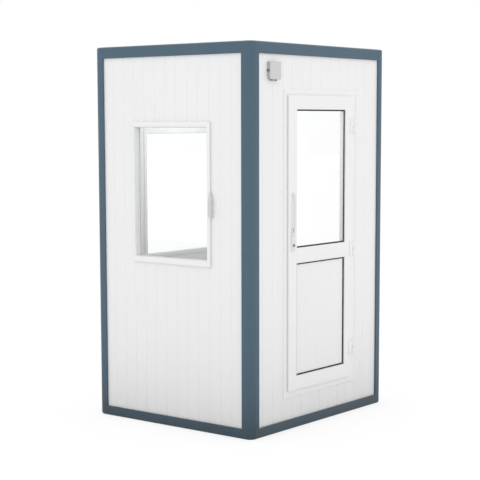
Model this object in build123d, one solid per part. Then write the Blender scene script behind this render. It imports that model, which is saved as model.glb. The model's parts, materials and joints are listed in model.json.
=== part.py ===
"""A one-door guard booth: a rounded steel frame filled with sandwich panels, windows on three sides.

Millimetres, +Z up. The origin is on the ground under the middle of the frame.
The front, with the door, faces -Y; "left" and "right" are as seen from the front.
"""

import os

from build123d import *

# Frame of corner posts, corner blocks and rails
WIDTH = 1520.0
DEPTH = 1338.0
HEIGHT = 2500.0
POST_FACE = 80.0
TOP_RAIL_FACE = 75.0
BOTTOM_RAIL_FACE = 66.0
COLUMN_RADIUS = 50.0
EDGE_RADIUS = 14.0

# Wall panels, which slot behind the faces of the posts and rails
WALL_THICKNESS = 50.0
WALL_SETBACK = 12.0
WALL_REBATE = 17.0

# Roof and floor
ROOF_THICKNESS = 50.0
ROOF_DROP = 18.0
FLOOR_HEIGHT = 180.0
DECK_THICKNESS = 30.0
JOIST_WIDTH = 60.0
JOIST_PITCH = 450.0
JOIST_COUNT = 3

# Windows, seen from outside: clear opening's start from the wall's left end, its end from
# the wall's right end, its sill above the ground and its head below the top rail
LEFT_WINDOW_START = 359.0
LEFT_WINDOW_END = 360.0
LEFT_WINDOW_SILL = 1117.0
LEFT_WINDOW_HEAD = 455.0
BACK_WINDOW_START = 325.0
BACK_WINDOW_END = 449.0
BACK_WINDOW_SILL = 1074.0
BACK_WINDOW_HEAD = 500.0
RIGHT_WINDOW_START = 255.0
RIGHT_WINDOW_END = 255.0
RIGHT_WINDOW_SILL = 1065.0
RIGHT_WINDOW_HEAD = 325.0

# Window frame: a flange over the wall and a liner through it
LATCH_STILE = 27.0
FAR_STILE = 13.0
FLANGE_RAIL = 36.0
FLANGE_PROUD = 14.0
LINER_THICKNESS = 8.0
WINDOW_GLASS_THICKNESS = 6.0
WINDOW_GLASS_INSET = 8.0

# Window latch
LATCH_WIDTH = 28.0
LATCH_DEPTH = 14.0
LATCH_HEIGHT = 162.0
LATCH_NARROWING = 6.0
LATCH_TIP = 50.0
LATCH_ABOVE_SILL = 363.0
LATCH_LAP = 6.0

# Door frame: its start from the front wall's left end, its width,
# its foot above the ground and its head below the top rail
DOOR_FRAME_START = 350.0
DOOR_FRAME_WIDTH = 830.0
DOOR_FRAME_SILL = 212.0
DOOR_FRAME_HEAD = 214.0
DOOR_FRAME_PROUD = 5.0

# Door leaf: a lip that covers the frame's edge, and a core inside the frame.
# The first four are how much of the frame's face shows past the lip.
LOCK_SIDE_MARGIN = 34.0
HINGE_SIDE_MARGIN = 64.0
FOOT_MARGIN = 43.0
HEAD_MARGIN = 38.0
LEAF_THICKNESS = 50.0
LIP_THICKNESS = 9.0
LIP_OVERLAP = 15.0
SWING_GAP = 5.0
JAMB_GAP = 8.0
STILE_WIDTH = 88.0
TOP_RAIL_WIDTH = 91.0
MID_RAIL_WIDTH = 101.0
BOTTOM_RAIL_WIDTH = 94.0
MID_RAIL_HEIGHT = 1089.0
GLAZING_RECESS = 12.0
DOOR_GLASS_THICKNESS = 6.0
DOOR_PANEL_THICKNESS = 24.0
GASKET_WIDTH = 8.0
GASKET_THICKNESS = 4.0

# Hinges
HINGE_FROM_ENDS = 200.0
HINGE_LENGTH = 100.0
KNUCKLE_RADIUS = 9.0
KNUCKLE_GAP = 2.0
KNUCKLE_OFFSET = 12.0
HINGE_PLATE = 4.0
HINGE_FLAP = 34.0
PIN_RADIUS = 4.0
PIN_CLEARANCE = 0.3
PIN_LENGTH = 40.0

# Lock and door handles, which are placed from the lock
LOCK_HEIGHT = 1210.0
LOCK_RADIUS = 9.0
LOCK_PROUD = 5.0
HANDLE_FROM_EDGE = 42.0
BACKPLATE_WIDTH = 38.0
BACKPLATE_HEIGHT = 150.0
BACKPLATE_THICKNESS = 8.0
BACKPLATE_BELOW_LOCK = 39.0
GRIP_WIDTH = 14.0
GRIP_THICKNESS = 10.0
GRIP_STANDOFF = 24.0
GRIP_ABOVE_LOCK = 73.0
GRIP_LENGTH = 269.0
FOOT_HEIGHT = 22.0

# Cable inlet box on the front wall
INLET_START = 177.0
INLET_DROP = 48.0
INLET_WIDTH = 111.0
INLET_HEIGHT = 111.0
INLET_DEPTH = 30.0
INLET_LID = 10.0
INLET_CHAMFER = 8.0
INLET_RADIUS = 5.0
GLAND_RADIUS = 9.0
GLAND_LENGTH = 9.0
GLAND_PITCH = 42.0
PLUG_RADIUS = 9.0
PLUG_LENGTH = 5.0

# Worked out from the sizes above
CORE = WALL_SETBACK + WALL_THICKNESS
BOTTOM_CORE = BOTTOM_RAIL_FACE - WALL_REBATE
TOP_RING_BOTTOM = HEIGHT - TOP_RAIL_FACE
WALL_TOP = TOP_RING_BOTTOM + WALL_REBATE
DOOR_FRAME_FACE = WALL_SETBACK - DOOR_FRAME_PROUD
LIP_BACK = DOOR_FRAME_FACE - SWING_GAP
LEAF_FACE = LIP_BACK - LIP_THICKNESS
LEAF_BACK = LEAF_FACE + LEAF_THICKNESS
CORE_INSET = LIP_OVERLAP + JAMB_GAP
FRAME_LEFT = DOOR_FRAME_START - WIDTH / 2
FRAME_RIGHT = FRAME_LEFT + DOOR_FRAME_WIDTH
FRAME_TOP = TOP_RING_BOTTOM - DOOR_FRAME_HEAD
LEAF_LEFT = FRAME_LEFT + LOCK_SIDE_MARGIN
LEAF_RIGHT = FRAME_RIGHT - HINGE_SIDE_MARGIN
LEAF_BOTTOM = DOOR_FRAME_SILL + FOOT_MARGIN
LEAF_TOP = FRAME_TOP - HEAD_MARGIN
HINGE_AXIS_X = LEAF_RIGHT + KNUCKLE_OFFSET
HINGE_AXIS_DEPTH = LEAF_FACE - HINGE_PLATE / 2
HANDLE_X = LEAF_LEFT + HANDLE_FROM_EDGE

# One hinge near each end of the leaf and one at its middle rail
HINGE_HEIGHTS = (
    LEAF_BOTTOM + HINGE_FROM_ENDS,
    MID_RAIL_HEIGHT + MID_RAIL_WIDTH / 2,
    LEAF_TOP - HINGE_FROM_ENDS,
)

# Each side: its turn about Z, how far it lies from the middle, and its length
SIDES = {
    "front": (0, DEPTH / 2, WIDTH),
    "right": (90, WIDTH / 2, DEPTH),
    "back": (180, DEPTH / 2, WIDTH),
    "left": (-90, WIDTH / 2, DEPTH),
}

# Each corner: its place and its turn about Z
CORNERS = {
    "front_left": (-WIDTH / 2, -DEPTH / 2, 0),
    "front_right": (WIDTH / 2, -DEPTH / 2, 90),
    "back_right": (WIDTH / 2, DEPTH / 2, 180),
    "back_left": (-WIDTH / 2, DEPTH / 2, 270),
}

# Each window: start, end, sill and head
WINDOWS = {
    "left": (LEFT_WINDOW_START, LEFT_WINDOW_END, LEFT_WINDOW_SILL, LEFT_WINDOW_HEAD),
    "back": (BACK_WINDOW_START, BACK_WINDOW_END, BACK_WINDOW_SILL, BACK_WINDOW_HEAD),
    "right": (RIGHT_WINDOW_START, RIGHT_WINDOW_END, RIGHT_WINDOW_SILL, RIGHT_WINDOW_HEAD),
}


def slab(x, y, z):
    """Box between two ends along each axis."""
    middle = Pos((x[0] + x[1]) / 2, (y[0] + y[1]) / 2, (z[0] + z[1]) / 2)
    return middle * Box(x[1] - x[0], y[1] - y[0], z[1] - z[0])


def on_side(side):
    """Placement of a side: X runs right as seen from outside, Y runs inwards from the frame's face."""
    turn, reach, _ = SIDES[side]
    return Rot(0, 0, turn) * Pos(0, -reach, 0)


def on_corner(corner):
    """Placement of a corner: X and Y run inwards from the frame's outer corner."""
    x, y, turn = CORNERS[corner]
    return Pos(x, y, 0) * Rot(0, 0, turn)


def edges_at(part, **planes):
    """Edges of the part whose ends all lie on the given planes, such as X=0."""

    def lies_on_all(edge):
        ends = edge.vertices()
        return all(abs(getattr(end, axis) - planes[axis]) < 1e-4 for end in ends for axis in planes)

    return ShapeList(edge for edge in part.edges() if lies_on_all(edge))


def post_length(bottom, top):
    """The post's profile between two heights: a core that the walls meet, and legs that cover their ends."""
    core = slab((0, CORE), (0, CORE), (bottom, top))
    leg_x = slab((0, POST_FACE), (0, WALL_SETBACK), (bottom, top))
    leg_y = slab((0, WALL_SETBACK), (0, POST_FACE), (bottom, top))
    return core + leg_x + leg_y


def block_length(bottom, top):
    """The full corner profile between two heights, where the rails butt against it."""
    return slab((0, POST_FACE), (0, CORE), (bottom, top)) + slab((0, CORE), (0, POST_FACE), (bottom, top))


def column(body, rim):
    """The body with a quarter-round column as its outer corner, eased round the rim at one height."""
    turned = fillet(edges_at(body, X=0, Y=0), COLUMN_RADIUS)
    return fillet(edges_at(turned, X=0, Z=rim) + edges_at(turned, Y=0, Z=rim), EDGE_RADIUS)


def post():
    """Corner post from the ground to the top ring."""
    return column(post_length(BOTTOM_CORE, TOP_RING_BOTTOM) + block_length(0, BOTTOM_CORE), 0)


def corner_block():
    """Block of the top ring over a post."""
    return column(post_length(TOP_RING_BOTTOM, WALL_TOP) + block_length(WALL_TOP, HEIGHT), HEIGHT)


def rail(length, face, core, outer):
    """Rail of one side: a face strip over the wall's edge and a deep core, rounded along its outer edge."""
    reach = (POST_FACE - length / 2, length / 2 - POST_FACE)
    body = slab(reach, (0, WALL_SETBACK), face) + slab(reach, (0, CORE), core)
    return fillet(edges_at(body, Y=0, Z=outer), EDGE_RADIUS)


def top_rail(length):
    return rail(length, (TOP_RING_BOTTOM, HEIGHT), (WALL_TOP, HEIGHT), HEIGHT)


def bottom_rail(length):
    return rail(length, (0, BOTTOM_RAIL_FACE), (0, BOTTOM_CORE), 0)


def roof_panel():
    """Flat insulated panel inside the top ring, a little below its rim."""
    top = HEIGHT - ROOF_DROP
    x = WIDTH / 2 - CORE
    y = DEPTH / 2 - CORE
    return slab((-x, x), (-y, y), (top - ROOF_THICKNESS, top))


def floor_deck():
    """Floor board between the walls."""
    x = WIDTH / 2 - CORE
    y = DEPTH / 2 - CORE
    return slab((-x, x), (-y, y), (FLOOR_HEIGHT - DECK_THICKNESS, FLOOR_HEIGHT))


def floor_joist(index):
    """Joist from wall to wall under the deck, standing on the ground."""
    x = WIDTH / 2 - CORE
    y = (index - (JOIST_COUNT - 1) / 2) * JOIST_PITCH
    return slab((-x, x), (y - JOIST_WIDTH / 2, y + JOIST_WIDTH / 2), (0, FLOOR_HEIGHT - DECK_THICKNESS))


def wall_piece(x, z):
    """Rectangle of wall panel, in the placement of its side."""
    return slab(x, (WALL_SETBACK, CORE), z)


def window_reach(side, margin=0.0):
    """Ends of a window's clear opening along X and Z, widened by a margin all round."""
    start, end, sill, head = WINDOWS[side]
    half = SIDES[side][2] / 2
    x = (start - half - margin, half - end + margin)
    z = (sill - margin, TOP_RING_BOTTOM - head + margin)
    return x, z


def windowed_wall(side):
    """Whole wall of a side between the posts, with its window hole cut through."""
    half = SIDES[side][2] / 2 - CORE
    hole_x, hole_z = window_reach(side, LINER_THICKNESS)
    return wall_piece((-half, half), (BOTTOM_CORE, WALL_TOP)) - wall_piece(hole_x, hole_z)


def window_frame(side):
    """Flange over the wall, wider on the latch side, and a liner through the hole."""
    clear_x, clear_z = window_reach(side)
    hole_x, hole_z = window_reach(side, LINER_THICKNESS)
    flange_x = (clear_x[0] - FAR_STILE, clear_x[1] + LATCH_STILE)
    flange_z = (clear_z[0] - FLANGE_RAIL, clear_z[1] + FLANGE_RAIL)
    flange = slab(flange_x, (WALL_SETBACK - FLANGE_PROUD, WALL_SETBACK), flange_z)
    liner = slab(hole_x, (WALL_SETBACK, CORE), hole_z)
    return flange + liner - slab(clear_x, (WALL_SETBACK - FLANGE_PROUD, CORE), clear_z)


def window_glass(side):
    """Sheet of glass that fills the liner near the wall's inner face."""
    clear_x, clear_z = window_reach(side)
    back = CORE - WINDOW_GLASS_INSET
    return slab(clear_x, (back - WINDOW_GLASS_THICKNESS, back), clear_z)


def window_latch(side):
    """Latch block on the wall that laps over the flange's wide stile, narrower at its tip."""
    clear_x, clear_z = window_reach(side)
    edge = clear_x[1] + LATCH_STILE
    face = WALL_SETBACK - FLANGE_PROUD
    left = edge - LATCH_LAP
    right = left + LATCH_WIDTH
    front = face - LATCH_DEPTH
    bottom = clear_z[0] + LATCH_ABOVE_SILL - LATCH_HEIGHT / 2
    top = bottom + LATCH_HEIGHT
    shoulder = top - LATCH_TIP
    body = slab((left, right), (front, WALL_SETBACK), (bottom, shoulder))
    body += slab((left, right - LATCH_NARROWING), (front + LATCH_NARROWING, WALL_SETBACK), (shoulder, top))
    return body - slab((left, edge), (face, WALL_SETBACK), (bottom, top))


def leaf_reach(margin=0.0):
    """Ends of the leaf's lip along X and Z, drawn in by a margin all round."""
    return (LEAF_LEFT + margin, LEAF_RIGHT - margin), (LEAF_BOTTOM + margin, LEAF_TOP - margin)


def front_wall(piece):
    """One of the four wall pieces round the door frame."""
    half = WIDTH / 2 - CORE
    pieces = {
        "left": ((-half, FRAME_LEFT), (BOTTOM_CORE, WALL_TOP)),
        "right": ((FRAME_RIGHT, half), (BOTTOM_CORE, WALL_TOP)),
        "head": ((FRAME_LEFT, FRAME_RIGHT), (FRAME_TOP, WALL_TOP)),
        "sill": ((FRAME_LEFT, FRAME_RIGHT), (BOTTOM_CORE, DOOR_FRAME_SILL)),
    }
    return wall_piece(*pieces[piece])


def door_frame(piece):
    """One of the four members round the doorway: the jambs run full height, the others fit between them."""
    clear_x, clear_z = leaf_reach(LIP_OVERLAP)
    pieces = {
        "lock_jamb": ((FRAME_LEFT, clear_x[0]), (DOOR_FRAME_SILL, FRAME_TOP)),
        "hinge_jamb": ((clear_x[1], FRAME_RIGHT), (DOOR_FRAME_SILL, FRAME_TOP)),
        "head": (clear_x, (clear_z[1], FRAME_TOP)),
        "threshold": (clear_x, (DOOR_FRAME_SILL, clear_z[0])),
    }
    along, up = pieces[piece]
    return slab(along, (DOOR_FRAME_FACE, CORE), up)


def leaf_openings():
    """Ends of the glazed opening and of the panel opening, along X and Z."""
    across = (LEAF_LEFT + STILE_WIDTH, LEAF_RIGHT - STILE_WIDTH)
    upper = (MID_RAIL_HEIGHT + MID_RAIL_WIDTH, LEAF_TOP - TOP_RAIL_WIDTH)
    lower = (LEAF_BOTTOM + BOTTOM_RAIL_WIDTH, MID_RAIL_HEIGHT)
    return across, upper, lower


def leaf_frame():
    """Stiles and rails of the leaf in one welded piece: a lip in front and a core behind it."""
    lip_x, lip_z = leaf_reach()
    core_x, core_z = leaf_reach(CORE_INSET)
    across, upper, lower = leaf_openings()
    body = slab(lip_x, (LEAF_FACE, LIP_BACK), lip_z) + slab(core_x, (LIP_BACK, LEAF_BACK), core_z)
    through = (LEAF_FACE, LEAF_BACK)
    return body - slab(across, through, upper) - slab(across, through, lower)


def infill(up, thickness):
    """Sheet that fills one opening of the leaf behind its gasket."""
    across, _, _ = leaf_openings()
    front = LEAF_FACE + GLAZING_RECESS
    return slab(across, (front, front + thickness), up)


def gasket(up):
    """Ring in front of an infill, against the opening's edge."""
    across, _, _ = leaf_openings()
    back = LEAF_FACE + GLAZING_RECESS
    depth = (back - GASKET_THICKNESS, back)
    inner_x = (across[0] + GASKET_WIDTH, across[1] - GASKET_WIDTH)
    inner_z = (up[0] + GASKET_WIDTH, up[1] - GASKET_WIDTH)
    return slab(across, depth, up) - slab(inner_x, depth, inner_z)


def upright(radius, bottom, top):
    """Round bar on the hinge axis between two heights."""
    return Pos(HINGE_AXIS_X, HINGE_AXIS_DEPTH, (bottom + top) / 2) * Cylinder(radius, top - bottom)


def hinge_frame_half(height):
    """Lower knuckle with its pin, and the flap that carries it on the door frame."""
    bottom = height - HINGE_LENGTH / 2
    meet = height - KNUCKLE_GAP / 2
    back = DOOR_FRAME_FACE
    flap_x = (HINGE_AXIS_X, HINGE_AXIS_X + HINGE_FLAP)
    web_x = (HINGE_AXIS_X, HINGE_AXIS_X + KNUCKLE_RADIUS)
    flap = slab(flap_x, (back - HINGE_PLATE, back), (bottom, bottom + HINGE_LENGTH))
    web = slab(web_x, (HINGE_AXIS_DEPTH, back), (bottom, meet))
    return upright(KNUCKLE_RADIUS, bottom, meet) + web + flap + upright(PIN_RADIUS, meet, meet + PIN_LENGTH)


def hinge_leaf_half(height):
    """Upper knuckle, bored for the pin, and the flap that fixes it to the leaf."""
    top = height + HINGE_LENGTH / 2
    meet = height + KNUCKLE_GAP / 2
    depth = (LEAF_FACE - HINGE_PLATE, LEAF_FACE)
    flap = slab((LEAF_RIGHT - HINGE_FLAP, LEAF_RIGHT), depth, (top - HINGE_LENGTH, top))
    web = slab((LEAF_RIGHT, HINGE_AXIS_X), depth, (meet, top))
    bore = upright(PIN_RADIUS + PIN_CLEARANCE, meet, meet + PIN_LENGTH)
    return flap + web + upright(KNUCKLE_RADIUS, meet, top) - bore


def handle(face, outwards):
    """Pull handle on one face of the leaf: a backplate and a grip on two feet, along -Y or +Y."""

    def layer(start, end):
        return tuple(sorted((face + outwards * start, face + outwards * end)))

    plate_x = (HANDLE_X - BACKPLATE_WIDTH / 2, HANDLE_X + BACKPLATE_WIDTH / 2)
    plate_bottom = LOCK_HEIGHT - BACKPLATE_BELOW_LOCK
    plate_z = (plate_bottom, plate_bottom + BACKPLATE_HEIGHT)
    grip_x = (HANDLE_X - GRIP_WIDTH / 2, HANDLE_X + GRIP_WIDTH / 2)
    grip_bottom = LOCK_HEIGHT + GRIP_ABOVE_LOCK
    grip_top = grip_bottom + GRIP_LENGTH
    body = slab(plate_x, layer(0, BACKPLATE_THICKNESS), plate_z)
    body += slab(grip_x, layer(GRIP_STANDOFF - GRIP_THICKNESS, GRIP_STANDOFF), (grip_bottom, grip_top))
    body += slab(grip_x, layer(0, GRIP_STANDOFF), (grip_bottom, grip_bottom + FOOT_HEIGHT))
    return body + slab(grip_x, layer(0, GRIP_STANDOFF), (grip_top - FOOT_HEIGHT, grip_top))


def lock_cylinder():
    """Key cylinder that stands out of the outside backplate."""
    middle = LEAF_FACE - BACKPLATE_THICKNESS - LOCK_PROUD / 2
    return Pos(HANDLE_X, middle, LOCK_HEIGHT) * Rot(90, 0, 0) * Cylinder(LOCK_RADIUS, LOCK_PROUD)


def inlet_reach():
    """Ends of the inlet box along X and Z."""
    left = INLET_START - WIDTH / 2
    top = TOP_RING_BOTTOM - INLET_DROP
    return (left, left + INLET_WIDTH), (top - INLET_HEIGHT, top)


def inlet_box():
    """Box on the wall, chamfered along its lower sides."""
    x, z = inlet_reach()
    body = slab(x, (WALL_SETBACK - INLET_DEPTH + INLET_LID, WALL_SETBACK), z)
    return chamfer(edges_at(body, X=x[0], Z=z[0]) + edges_at(body, X=x[1], Z=z[0]), INLET_CHAMFER)


def inlet_lid():
    """Lid of the box, rounded round its front and chamfered with the box."""
    x, z = inlet_reach()
    front = WALL_SETBACK - INLET_DEPTH
    body = slab(x, (front, front + INLET_LID), z)
    body = chamfer(edges_at(body, X=x[0], Z=z[0]) + edges_at(body, X=x[1], Z=z[0]), INLET_CHAMFER)
    return fillet(edges_at(body, Y=front), INLET_RADIUS)


def inlet_glands():
    """Two cable glands under the box and a round plug on its left side."""
    x, z = inlet_reach()
    depth = WALL_SETBACK - (INLET_DEPTH - INLET_LID) / 2
    middle = (x[0] + x[1]) / 2
    gland = Pos(0, depth, z[0] - GLAND_LENGTH / 2) * Cylinder(GLAND_RADIUS, GLAND_LENGTH)
    glands = [Pos(middle + step * GLAND_PITCH / 2, 0, 0) * gland for step in (-1, 1)]
    plug = Rot(0, 90, 0) * Cylinder(PLUG_RADIUS, PLUG_LENGTH)
    return Compound(children=[*glands, Pos(x[0] - PLUG_LENGTH / 2, depth, (z[0] + z[1]) / 2) * plug])


def build():
    """Every node of the booth, by name."""
    nodes = {}
    for corner in CORNERS:
        nodes[f"post_{corner}"] = on_corner(corner) * post()
        nodes[f"corner_block_{corner}"] = on_corner(corner) * corner_block()
    for side, (_, _, length) in SIDES.items():
        nodes[f"top_rail_{side}"] = on_side(side) * top_rail(length)
        nodes[f"bottom_rail_{side}"] = on_side(side) * bottom_rail(length)
    nodes["roof_panel"] = roof_panel()
    nodes["floor_deck"] = floor_deck()
    nodes["floor_joists"] = Compound(children=[floor_joist(i) for i in range(JOIST_COUNT)])
    for side in WINDOWS:
        nodes[f"{side}_wall"] = on_side(side) * windowed_wall(side)
        nodes[f"{side}_window_frame"] = on_side(side) * window_frame(side)
        nodes[f"{side}_window_glass"] = on_side(side) * window_glass(side)
        nodes[f"{side}_window_latch"] = on_side(side) * window_latch(side)
    front = on_side("front")
    _, upper, lower = leaf_openings()
    for piece in ("left", "right", "head", "sill"):
        nodes[f"front_wall_{piece}"] = front * front_wall(piece)
    for piece in ("lock_jamb", "hinge_jamb", "head", "threshold"):
        nodes[f"door_frame_{piece}"] = front * door_frame(piece)
    nodes["door_leaf_frame"] = front * leaf_frame()
    nodes["door_glass"] = front * infill(upper, DOOR_GLASS_THICKNESS)
    nodes["door_panel"] = front * infill(lower, DOOR_PANEL_THICKNESS)
    nodes["door_gaskets"] = Compound(children=[front * gasket(upper), front * gasket(lower)])
    nodes["door_handle_outside"] = front * handle(LEAF_FACE, -1)
    nodes["door_handle_inside"] = front * handle(LEAF_BACK, 1)
    nodes["lock_cylinder"] = front * lock_cylinder()
    nodes["hinges_frame_side"] = Compound(children=[front * hinge_frame_half(z) for z in HINGE_HEIGHTS])
    nodes["hinges_leaf_side"] = Compound(children=[front * hinge_leaf_half(z) for z in HINGE_HEIGHTS])
    nodes["inlet_box"] = front * inlet_box()
    nodes["inlet_lid"] = front * inlet_lid()
    nodes["inlet_glands"] = front * inlet_glands()
    return nodes


os.makedirs("parts", exist_ok=True)
for name, shape in build().items():
    export_step(shape, f"parts/{name}.step")
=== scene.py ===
# %% [markdown]
# # A guard booth
# The booth is a cage of rounded, blue-grey painted steel, filled with white insulated panels.
# It has a window in three of its sides and one part-glazed door beside a small cable inlet box.
# The CAD model gives every piece its place. This file gives each piece its finished shape and its
# surface: rolled grooves, mitred window profiles, rubber seals, screws, paint and glass.
#
# All new pieces are worked out with numpy: a shape is a grid of points, or a profile carried along a
# path. A finished piece stays at the origin, and its place is in its mesh.

import json
import math

import bmesh
import bpy
import numpy as np
from mathutils import Matrix, Vector

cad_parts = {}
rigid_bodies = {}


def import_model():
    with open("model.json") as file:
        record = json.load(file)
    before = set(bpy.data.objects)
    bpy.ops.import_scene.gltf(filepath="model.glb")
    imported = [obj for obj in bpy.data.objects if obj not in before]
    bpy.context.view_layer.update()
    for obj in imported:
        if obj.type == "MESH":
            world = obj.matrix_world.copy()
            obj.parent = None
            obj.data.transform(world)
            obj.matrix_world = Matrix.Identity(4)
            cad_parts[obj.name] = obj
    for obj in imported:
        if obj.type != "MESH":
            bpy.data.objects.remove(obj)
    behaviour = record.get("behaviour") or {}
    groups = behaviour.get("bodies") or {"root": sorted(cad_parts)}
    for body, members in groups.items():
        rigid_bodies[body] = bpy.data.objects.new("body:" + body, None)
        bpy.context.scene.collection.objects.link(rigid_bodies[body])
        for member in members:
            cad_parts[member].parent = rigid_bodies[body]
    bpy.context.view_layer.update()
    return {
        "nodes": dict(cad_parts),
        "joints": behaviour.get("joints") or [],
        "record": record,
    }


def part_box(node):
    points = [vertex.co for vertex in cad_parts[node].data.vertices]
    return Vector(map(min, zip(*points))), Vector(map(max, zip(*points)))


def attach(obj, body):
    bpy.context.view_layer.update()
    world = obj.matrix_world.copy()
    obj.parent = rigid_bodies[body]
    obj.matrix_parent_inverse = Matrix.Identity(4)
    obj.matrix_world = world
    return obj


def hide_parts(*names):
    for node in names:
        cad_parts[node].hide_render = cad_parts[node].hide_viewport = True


for leftover in list(bpy.data.objects):
    bpy.data.objects.remove(leftover, do_unlink=True)

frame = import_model()

# %% [markdown]
# ## Four sides, one set of measures
# The same window stands in three walls, so it would be a waste to work it out three times.
# Each side gets its own coordinates, as a surveyor would walk round the booth: u runs to the right
# as seen from outside, d runs inwards from the steel's outer face, and z runs up.
# A piece is made once in (u, d, z) and then turned onto its side.

# %% Reading the CAD model from each side
TURNS = {"front": 0, "right": 90, "back": 180, "left": -90}


def node_box(node):
    """Lowest and highest (x, y, z) of a CAD node, as two rows."""
    return np.array([list(corner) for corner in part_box(node)])


HALF_WIDTH, HALF_DEPTH = -node_box("corner_block_front_left")[0, :2]
REACH = {"front": HALF_DEPTH, "right": HALF_WIDTH, "back": HALF_DEPTH, "left": HALF_WIDTH}
HALF_LENGTH = {"front": HALF_WIDTH, "right": HALF_DEPTH, "back": HALF_WIDTH, "left": HALF_DEPTH}


def heading(side):
    """Cosine and sine of the angle by which a side is turned."""
    angle = math.radians(TURNS[side])
    return math.cos(angle), math.sin(angle)


def onto_side(side, points):
    """Places (u, d, z) points on a side: (u, d - reach) is turned about Z by the side's angle."""
    cos, sin = heading(side)
    u, d, z = np.moveaxis(np.asarray(points, float), -1, 0)
    d = d - REACH[side]
    return np.stack([u * cos - d * sin, u * sin + d * cos, z], -1)


def side_box(side, node):
    """Lowest and highest (u, d, z) of a CAD node as seen from a side: the same turn, undone."""
    cos, sin = heading(side)
    x, y, z = node_box(node).T
    local = np.stack([x * cos + y * sin, y * cos - x * sin + REACH[side], z], -1)
    return local.min(0), local.max(0)


print("half width, half depth", round(HALF_WIDTH, 3), round(HALF_DEPTH, 3))

# %% The booth's main measures
RING_BOTTOM, HEIGHT = node_box("top_rail_front")[:, 2]
RAIL_FACE = node_box("bottom_rail_front")[1, 2]
POST_FACE = HALF_DEPTH - side_box("left", "top_rail_left")[1][0]
wall_low, wall_high = side_box("left", "left_wall")
WALL_FACE, WALL_BACK = wall_low[1], wall_high[1]
WALL_FOOT, WALL_TOP = wall_low[2], wall_high[2]
WINDOW_SIDES = ("left", "right", "back")
print("height", round(HEIGHT, 3), "top ring from", round(RING_BOTTOM, 3))
print("wall from", round(WALL_FACE, 3), "to", round(WALL_BACK, 3), "inwards of the steel's face")

# %% [markdown]
# ## Shapes as arrays
# A shape here is a pair: an array of points, and a list of arrays of faces. Most of them are lofts:
# a closed section is repeated along a path, quads join neighbouring sections, and the two end
# sections are filled.

# %% Grids and lofts
def grid_quads(rows, columns, closed_rows=False, closed_columns=False):
    """Quads of a grid numbered row by row. A closed direction joins its last line to its first."""
    i = np.arange(rows if closed_rows else rows - 1)[:, None]
    j = np.arange(columns if closed_columns else columns - 1)[None, :]
    up, right = (i + 1) % rows, (j + 1) % columns
    corners = (i * columns + j, i * columns + right, up * columns + right, up * columns + j)
    return np.stack(np.broadcast_arrays(*corners), -1).reshape(-1, 4)


def loft(sections):
    """Solid through closed sections (n, k, 3): quads along it, and its first and last loop filled."""
    n, k, _ = sections.shape
    ends = np.arange(k) + np.array([[0], [(n - 1) * k]])
    return sections.reshape(-1, 3), [grid_quads(n, k, closed_columns=True), ends]


def swept(outline, axis, places):
    """Straight solid: a flat outline repeated at places along axis 0, 1 or 2 of (u, d, z)."""
    outline = np.asarray(outline, float)
    return loft(np.stack([np.insert(outline, axis, place, axis=1) for place in places]))


print("a grid of 3 by 4 points has", len(grid_quads(3, 4)), "quads")

# %% Blocks, round shapes and joined shapes
def block(low, high):
    """Box between two corners: its lower rectangle swept up to its top."""
    (u0, d0, z0), (u1, d1, z1) = low, high
    return swept([(u0, d0), (u1, d0), (u1, d1), (u0, d1)], 2, (z0, z1))


def turned(profile, centre, along, segments=28):
    """Round solid: each profile row (height, radius) makes a circle about the axis u, d or z."""
    height, radius = np.array(profile, float).T
    angle = np.linspace(0, 2 * np.pi, segments, endpoint=False)
    a = radius[:, None] * np.cos(angle)
    b = radius[:, None] * np.sin(angle)
    h = np.broadcast_to(height[:, None], a.shape)
    order = {"u": (h, a, b), "d": (b, h, a), "z": (a, b, h)}[along]
    points = np.stack(order, -1) + np.array(centre)
    return points.reshape(-1, 3), [grid_quads(len(height), segments, closed_columns=True)]


def joined(shapes):
    """One shape from several: face numbers move up by the points that come before them."""
    points, faces, start = [], [], 0
    for more_points, more_faces in shapes:
        points.append(more_points)
        faces += [group + start for group in more_faces]
        start += len(more_points)
    return np.concatenate(points), faces


cube_points, cube_faces = block((0, 0, 0), (1, 1, 1))
print("a cube as a loft:", len(cube_points), "points,", sum(len(group) for group in cube_faces), "faces")

# %% [markdown]
# ## From a shape to a piece
# A Bevel modifier gives each sharp edge the small radius that folded steel or an extruded profile
# has, because a perfectly sharp edge never catches any light. An edge that turns by less than the
# sharp angle is left alone and shaded smoothly. Each piece also says which body it rides on and
# which CAD nodes it stands for.

# %% How a piece is made
def placed(name, data):
    """New object in the scene, with the given mesh, light or camera."""
    made = bpy.data.objects.new(name, data)
    bpy.context.scene.collection.objects.link(made)
    return made


def make_piece(name, shape, material, slot, body="booth", side=None, stands_for=(), bevel=0.0, sharp=40):
    """Mesh object from a shape, closed and turned outwards, with its finish and body. The slot is not used.
    """
    points, faces = shape
    points = onto_side(side, points) if side else points
    mesh = bpy.data.meshes.new(name)
    mesh.from_pydata(points.tolist(), [], [face for group in faces for face in group.tolist()])
    work = bmesh.new()
    work.from_mesh(mesh)
    bmesh.ops.remove_doubles(work, verts=work.verts, dist=1e-6)
    bmesh.ops.recalc_face_normals(work, faces=work.faces)
    work.to_mesh(mesh)
    work.free()
    mesh.polygons.foreach_set("use_smooth", np.ones(len(mesh.polygons), bool))
    piece = placed(name, mesh)
    if bevel:
        rounding = piece.modifiers.new("Rounded edges", "BEVEL")
        rounding.width, rounding.segments = bevel, 2
        rounding.limit_method, rounding.angle_limit = "ANGLE", math.radians(sharp)
        rounding.harden_normals = True
    else:
        mesh.set_sharp_from_angle(angle=math.radians(sharp))
    mesh.materials.append(material)
    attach(piece, body)
    if stands_for:
        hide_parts(*stands_for)
    print(f"{name}: {len(mesh.vertices)} points, {len(mesh.polygons)} faces")
    return piece


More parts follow.
